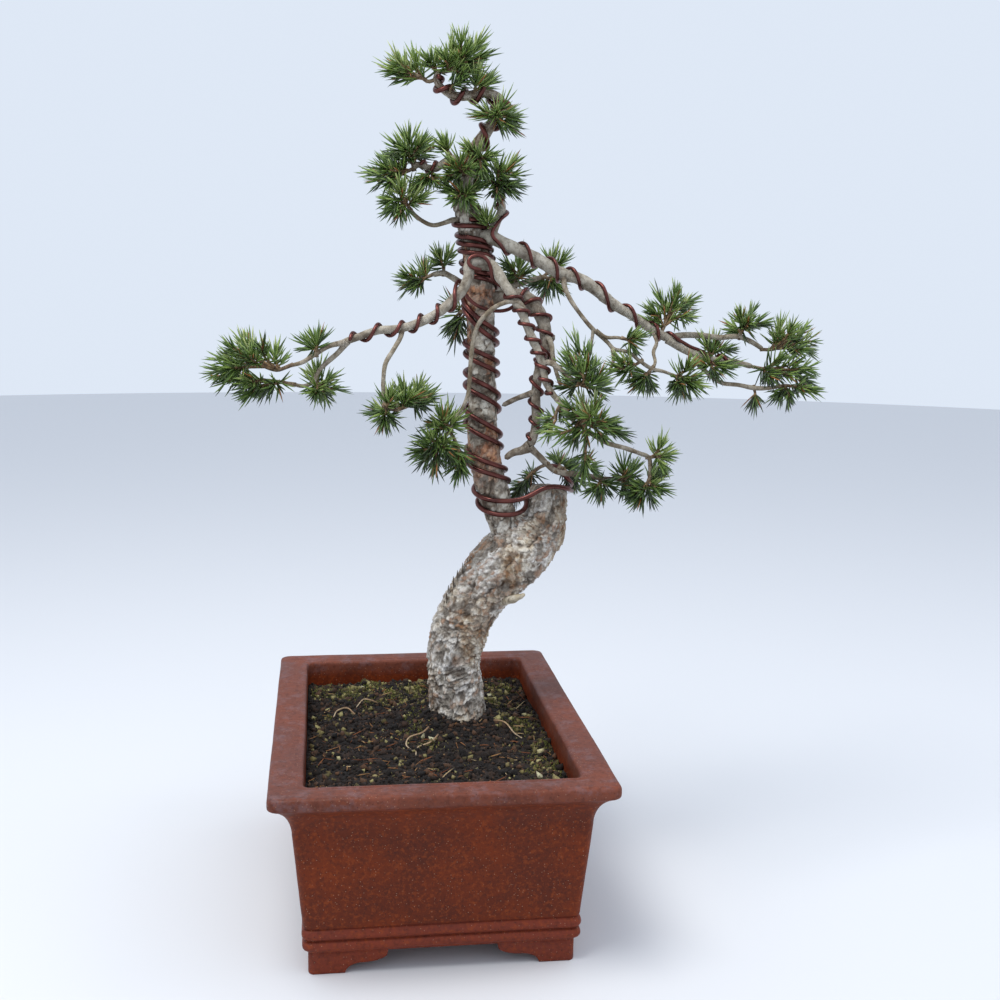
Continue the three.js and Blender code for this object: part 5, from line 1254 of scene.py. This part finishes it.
# THE SPRAYS. Slim bare boughs from the wood, each with shoots fanned out at its end, and on the last
# stretch of every shoot the pine's needles in pairs, set in a spiral round it and leaning outwards.
# Each bough is a stem of places that starts in the wood, and the places of its shoots' tips.
SPRAYS = {
    "crown_left": [([(8, 28, 781), (-1, 27, 778), (-8, 26, 782), (-17, 25, 785)],
         [(-29, 18, 793), (-27, 36, 791), (-23, 26, 781), (-13, 30, 796), (-35, 22, 786)])],
    "crown_top": [([(9, 28, 787), (18, 27, 788), (25, 26, 793)],
         [(15, 16, 798), (22, 30, 808), (30, 22, 814), (33, 10, 803), (46, 28, 814), (50, 20, 802),
          (43, 34, 796), (39, 20, 786), (30, 44, 801), (29, 8, 783), (44, 44, 811)]),
        ([(8, 28, 786), (5, 27, 789)],
         [(-1, 22, 795), (8, 34, 800)])],
    "crown_low": [([(20, 27, 767), (20, 22, 772)],
         [(26, 16, 777)])],
    "crown_mid": [([(43, 29, 768), (43, 22, 773)],
         [(45, 18, 778), (54, 28, 778)])],
    "crown_right": [([(61, 30, 745), (63, 20, 748)],
         [(68, 14, 756), (77, 16, 746), (52, 16, 750), (62, 4, 750), (75, 24, 741)])],
    "upper_left_top": [([(-15, 14, 698), (-17, 13, 705)],
         [(-31, 4, 715), (-33, 22, 710), (-20, 14, 723), (-9, 2, 718), (-4, 24, 714), (-23, -6, 711)])],
    "upper_left_end": [([(-16, 14, 697), (-24, 12, 693)],
         [(-43, 2, 696), (-49, 12, 685), (-38, 22, 703), (-38, -2, 682), (-51, 24, 693)])],
    "thin_left_end": [([(-19, 9, 661), (-23, 6, 666)],
         [(-40, -6, 666), (-37, 12, 659), (-28, -4, 678), (-15, 14, 680), (-29, -8, 654), (-13, 2, 668)])],
    "upper_left_small_a": [([(22, 20, 709), (18, 17, 714)],
         [(14, 14, 720)])],
    "upper_left_small_b": [([(4, 15, 699), (0, 11, 693)],
         [(-5, 7, 687), (3, 2, 686)])],
    "centre_upper": [([(37, 28, 693), (30, 13, 695)],
         [(19, 2, 701), (16, 8, 691), (27, -3, 705), (35, -7, 697)])],
    "centre_lower": [([(34, 30, 674), (32, 12, 676)],
         [(23, 0, 670), (34, -6, 669), (42, 4, 681), (18, 10, 680)])],
    "centre_right": [([(45, 28, 714), (47, 14, 708)],
         [(37, 6, 715), (53, 4, 708), (46, 0, 696)])],
    "upright_head": [([(64, 24, 680), (64, 18, 686)],
         [(80, 6, 693), (73, 0, 680), (62, 0, 675), (77, 16, 703), (54, 8, 688), (64, -2, 699),
          (83, 24, 686)])],
    "upright_small": [([(62, 24, 643), (57, 19, 646)],
         [(54, 14, 651)])],
    "back_left_near": [([(18, 60, 602), (19, 62, 610)],
         [(13, 56, 618), (24, 70, 618)])],
    "back_left_far": [([(7, 66, 600), (-1, 70, 596)],
         [(-17, 66, 598), (-15, 78, 591), (-8, 64, 588), (0, 80, 605)])],
    "behind_left": [([(42, 36, 565), (33, 48, 564)],
         [(30, 50, 543), (25, 60, 550), (36, 66, 548), (27, 56, 572)])],
    "back_right_near": [([(90, 58, 591), (92, 62, 598)],
         [(83, 56, 610), (95, 72, 613), (99, 58, 602), (87, 72, 596)])],
    "back_right_far": [([(119, 72, 600), (127, 76, 599)],
         [(124, 80, 590), (134, 72, 591), (139, 90, 600), (115, 84, 594)]),
        ([(119, 72, 600), (129, 80, 606)],
         [(131, 84, 619), (139, 80, 615)])],
    "left_end_top": [([(-130, -34, 516), (-142, -36, 512), (-155, -37, 516)],
         [(-172, -30, 536), (-180, -48, 532), (-165, -16, 535), (-154, -52, 534), (-144, -24, 527),
          (-189, -34, 521), (-184, -56, 515), (-164, -64, 526), (-176, -8, 523), (-194, -42, 510)])],
    "left_end_low": [([(-128, -30, 499), (-139, -32, 501), (-154, -32, 503)],
         [(-183, -24, 506), (-189, -40, 503), (-171, -18, 494), (-164, -38, 492), (-156, -22, 493),
          (-146, -44, 498), (-167, -52, 502)])],
    "left_top_small": [([(-106, -30, 527), (-106, -31, 531)],
         [(-104, -32, 538), (-113, -26, 534)])],
    "left_low_tuft": [([(-109, -24, 501), (-104, -20, 497)],
         [(-96, -12, 502), (-90, -22, 494), (-107, -34, 492), (-99, -8, 486), (-106, -12, 507)])],
    "hanging_end": [([(-43, -28, 479), (-43, -28, 475)],
         [(-50, -20, 473), (-45, -32, 466), (-37, -20, 466), (-39, -38, 487)])],
    "hanging_right": [([(-43, -28, 479), (-34, -26, 475), (-22, -20, 478), (-14, -16, 482)],
         [(-10, -24, 490), (0, -8, 487), (-11, -6, 494), (-5, -4, 479)]),
        ([(-43, -28, 479), (-35, -24, 478), (-25, -20, 480)],
         [(-26, -12, 490), (-21, -30, 486), (-31, -8, 487)])],
    "arch_top": [([(19, -10, 453), (15, -10, 457)],
         [(10, -16, 468), (18, 0, 468), (4, -4, 459), (24, -4, 462), (6, -22, 456)])],
    "arch_left": [([(19, -10, 453), (12, -14, 447), (7, -16, 441)],
         [(-6, -8, 444), (-10, -24, 437), (-1, -30, 447), (-6, -12, 425), (5, -28, 427), (13, -34, 439),
          (4, -10, 419), (18, -20, 432)])],
    "arch_right": [([(19, -10, 453), (24, -10, 444), (28, -10, 433)],
         [(24, -2, 427), (30, -14, 419), (35, -2, 425), (25, -20, 416)])],
    "front_upper": [([(134, -37, 503), (140, -40, 499)],
         [(128, -34, 528), (138, -22, 534), (141, -50, 527), (122, -56, 519), (153, -28, 515),
          (152, -50, 506), (132, -64, 516), (158, -34, 496), (128, -30, 498)])],
    "front_middle": [([(134, -41, 465), (142, -46, 465)],
         [(126, -52, 480), (142, -36, 481), (150, -52, 482), (156, -64, 470), (168, -44, 464),
          (172, -54, 457), (155, -66, 454), (141, -60, 450), (131, -46, 449), (116, -58, 456),
          (141, -72, 475)]),
        ([(142, -46, 465), (144, -45, 450), (144, -39, 437), (144, -35, 426)],
         [(153, -30, 420), (144, -36, 418)])],
    "front_left": [([(121, -35, 482), (116, -40, 475), (115, -42, 467)],
         [(108, -30, 464), (107, -44, 456), (127, -30, 471)])],
    "right_upper": [([(234, 40, 545), (239, 44, 553), (243, 47, 561)],
         [(225, 40, 567), (223, 54, 557), (237, 56, 579), (251, 48, 586), (266, 58, 577), (257, 36, 563),
          (252, 66, 571), (271, 66, 561)])],
    "right_small": [([(187, -4, 542), (190, -5, 541)],
         [(197, -8, 544), (197, -2, 534)])],
    "right_far_top": [([(320, 52, 543), (324, 54, 551)],
         [(318, 48, 562), (334, 62, 567), (342, 52, 556), (317, 64, 551), (325, 38, 557)])],
    "right_far_upper": [([(347, 56, 530), (358, 58, 530), (369, 60, 534)],
         [(364, 60, 552), (374, 50, 553), (393, 66, 550), (398, 56, 539), (382, 44, 531), (381, 78, 543),
          (402, 74, 529)])],
    "right_far_middle": [([(333, 46, 513), (344, 46, 511), (356, 46, 511)],
         [(357, 34, 521), (378, 48, 517), (387, 36, 511), (395, 52, 498), (366, 26, 505), (364, 60, 499),
          (346, 34, 504)])],
    "right_far_lower": [([(360, 38, 494), (367, 36, 495)],
         [(384, 44, 489), (367, 30, 483), (361, 44, 485), (387, 21, 491)])],
    "right_under": [([(333, 38, 492), (334, 37, 487)],
         [(334, 36, 481)])],
    "right_inner_top": [([(287, 43, 520), (291, 50, 525)],
         [(295, 54, 533), (310, 58, 529), (282, 44, 534)])],
    "right_inner_lower": [([(287, 43, 520), (287, 38, 514)],
         [(278, 30, 516), (290, 36, 509), (302, 34, 513)])],
    "drooping_near": [([(205, 2, 520), (198, -2, 516)],
         [(184, -8, 521), (189, 0, 511), (178, -14, 514)])],
    "drooping_middle": [([(217, 4, 513), (212, 2, 508)],
         [(207, -4, 501), (217, 8, 498), (204, 6, 504)])],
    "drooping_end": [([(241, 8, 506), (246, 9, 505)],
         [(253, 2, 516), (264, 16, 505), (256, 2, 495), (250, 16, 492), (262, -2, 497), (240, -2, 498)])],
    "low_inner_left": [([(115, 1, 420), (109, 16, 414), (104, 34, 406)],
         [(106, 52, 399), (96, 48, 390), (100, 62, 387), (90, 50, 380)])],
    "low_inner_right": [([(124, 0, 413), (131, 16, 415), (138, 34, 411)],
         [(133, 44, 420), (148, 46, 411), (154, 40, 397), (151, 54, 390)])],
    "low_middle": [([(166, -6, 407), (167, -6, 402)],
         [(160, -10, 398), (170, 0, 390), (174, -12, 401)])],
    "low_end": [([(184, -8, 406), (189, -9, 405)],
         [(188, -14, 417), (199, -2, 413), (196, -16, 403), (192, -4, 395)])],
    "low_long_end": [([(210, -28, 410), (208, -28, 404)],
         [(201, -22, 399), (200, -34, 392), (214, -24, 390), (220, -34, 401), (220, -20, 411),
          (193, -30, 395)])],
    "low_long_side": [([(209, -27, 430), (218, -28, 431)],
         [(218, -34, 442), (226, -24, 431), (220, -34, 424)])],
}

STEM_RADII = ([0, 1], [2.1, 1.45])
SHOOT_RADII = ([0, 0.8, 1], [1.45, 1.15, 0.95])
TWIG_SPACING = 2.5
SEATED_DEPTH = 3.2
FIRST_SHOOT = 0.35
LAST_SHOOT = 0.97
NEEDLED_LENGTH = 20
FEWEST_PAIRS = 13
MOST_PAIRS = 25
NEEDLE_LENGTH = (12, 23)
NEEDLE_WIDTH = (1.45, 2.1)
GOLDEN_ANGLE = math.pi * (3 - math.sqrt(5))
DRY_SHARE = 0.025
TOP_OF_TREE = 833.5
END_OF_TREE = 317


def shoots_of(stem, tips):
    """Each tip's shoot leaves the outer part of the stem, in the order in which the tips lie along it.
    Its middle line bends once: three places, the middle one pulled towards the stem's own heading."""
    stem = np.array(stem, float)
    tips = np.array(tips, float)
    heading = stem[-1] - stem[0]
    tips = tips[np.argsort(tips @ heading)]
    run = distance_along(stem)
    first = FIRST_SHOOT if len(tips) > 1 else 1
    share = np.linspace(first, 1, len(tips)).clip(max=LAST_SHOOT)
    foot = np.stack([np.interp(share * run[-1], run, stem[:, k]) for k in range(3)], -1)
    middle = 0.5 * (foot + tips) + 0.14 * unit(heading) * np.linalg.norm(tips - foot, axis=1, keepdims=True)
    return np.stack([foot, middle, tips], 1)


def twig(places, radii, sides, roughness, grain, seed, *tones):
    """A rough twig through places, its radius read from shares of its length: its shell, and its middle
    line."""
    line, at = stations(places, TWIG_SPACING)
    radius = np.interp(at / (len(places) - 1), *radii)
    rough = wander(ring_round(line, radius, sides), grain, seed)
    rings = ring_round(line, radius[:, None] * (1 + roughness * rough), sides)
    return tube(rings, painted(shades(0.5 + 0.5 * rough, *tones)), 1), line


needle_green = Finish("pine_needles")
needle_streak = needle_green.cloud(2.0, needle_green.place(), 3, 0.6)
needle_way = needle_green.paint("Alpha")
needle_colour = needle_green.layered(
    needle_green.paint(),
    (needle_green.between(needle_streak, 0.4, 0.7) * 0.18, colour(150, 172, 120)),
    (needle_green.between(needle_way, 0.16, 0.0) * 0.6, colour(150, 140, 84)),
    (needle_green.between(needle_way, 0.93, 1.0) * 0.3, colour(150, 128, 70)),
)
needle_finish = needle_green.surface(Base_Color=needle_colour, Roughness=0.42)
twig_bark = Finish("twig_bark")
twig_fine = twig_bark.cloud(1.6, twig_bark.place(), 4, 0.7)
twig_share = twig_bark.between(twig_fine, 0.4, 0.66)
twig_finish = twig_bark.surface(
    Base_Color=twig_bark.blend(twig_share, twig_bark.paint(), colour(70, 52, 36)),
    Roughness=0.85,
    Normal=twig_bark.bump(twig_fine, 0.8),
)
for number, (name, boughs) in enumerate(SPRAYS.items()):
    luck = np.random.default_rng(900 + number)
    shells = []
    shoots = []
    for stem, tips in boughs:
        root = stem[0] - SEATED_DEPTH * unit(np.subtract(stem[1], stem[0]))
        shell, _ = twig(np.array([root, *stem]), STEM_RADII, 8, 0.12, 2.6, 51,
                        (92, 76, 58), (136, 116, 92), (168, 150, 124))
        shells.append(shell)
        for shoot in shoots_of(stem, tips):
            shell, line = twig(shoot, SHOOT_RADII, 6, 0.16, 2.2, 52,
                               (96, 74, 52), (142, 112, 78), (160, 134, 98))
            shells.append(shell)
            shoots.append(line)
    needle_rows = []
    for line in shoots:
        pairs = luck.integers(FEWEST_PAIRS, MOST_PAIRS + 1)
        run = distance_along(line)
        back = np.sort((np.arange(pairs) + luck.uniform(-0.6, 1.6, pairs)) / pairs).clip(0, 1)
        at = run[-1] - back * min(NEEDLED_LENGTH, run[-1] * 0.85)
        foot = np.stack([np.interp(at, run, line[:, k]) for k in range(3)], -1)
        tip_way = unit(line[-1] - line[-3])
        azimuth = np.arange(pairs) * GOLDEN_ANGLE + luck.normal(0, 0.5, pairs)
        across, other = (direction[-1] for direction in carried(line))
        out = across * np.cos(azimuth)[:, None] + other * np.sin(azimuth)[:, None]
        widest = luck.uniform(38, 66)
        lean = np.radians(8 + widest * back ** 0.7 + luck.normal(0, 12, pairs))[:, None]
        pair_way = tip_way * np.cos(lean) + out * np.sin(lean)
        spread = unit(np.cross(pair_way, tip_way + 0.01))
        opening = luck.uniform(0.06, 0.2, (pairs, 1))
        length = luck.uniform(*NEEDLE_LENGTH, pairs) * luck.uniform(0.82, 1.05)
        for side in (-1, 1):
            heading = unit(pair_way + side * opening * spread)
            bend = (0.12 * tip_way + (0, 0, 0.05) + side * 0.05 * spread
                    + luck.normal(0, 0.05, (pairs, 3)))
            needle_rows.append((foot + 0.6 * out, heading, bend, length * luck.uniform(0.9, 1.0, pairs)))
    starts, headings, bends, lengths = (np.concatenate(column) for column in zip(*needle_rows))
    ends = starts + (headings + bends) * lengths[:, None]
    fits = ((ends[:, 2] < TOP_OF_TREE) & (abs(ends[:, 0] - POT_OFF_CENTRE) < END_OF_TREE)
            & (starts[:, 2] < TOP_OF_TREE))
    starts, headings, bends, lengths = starts[fits], headings[fits], bends[fits], lengths[fits]
    age = luck.uniform(0, 1, len(starts))
    # Needles are paler where they are fresh and in random patches, and are also painted lighter the more they
    # point upwards, a painted highlight from the light above.
    fresh_and_lit = np.clip(0.7 * age + 0.22 * headings[:, 2] + 0.1 + 0.25 * wander(starts, 24, 53), 0, 1)
    tones = shades(fresh_and_lit, (33, 47, 23), (58, 80, 33), (86, 113, 46), (122, 145, 66), (166, 176, 112))
    tones = np.where((age > 1 - DRY_SHARE)[:, None], tone(150, 96, 48), tones)
    needles = strands(starts, headings, bends, lengths, luck.uniform(*NEEDLE_WIDTH, len(starts)), tones)
    spray = stitch("foliage_" + name, [needles, *shells], [needle_finish, twig_finish])
    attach(spray, "root")
    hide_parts("spray_" + name)
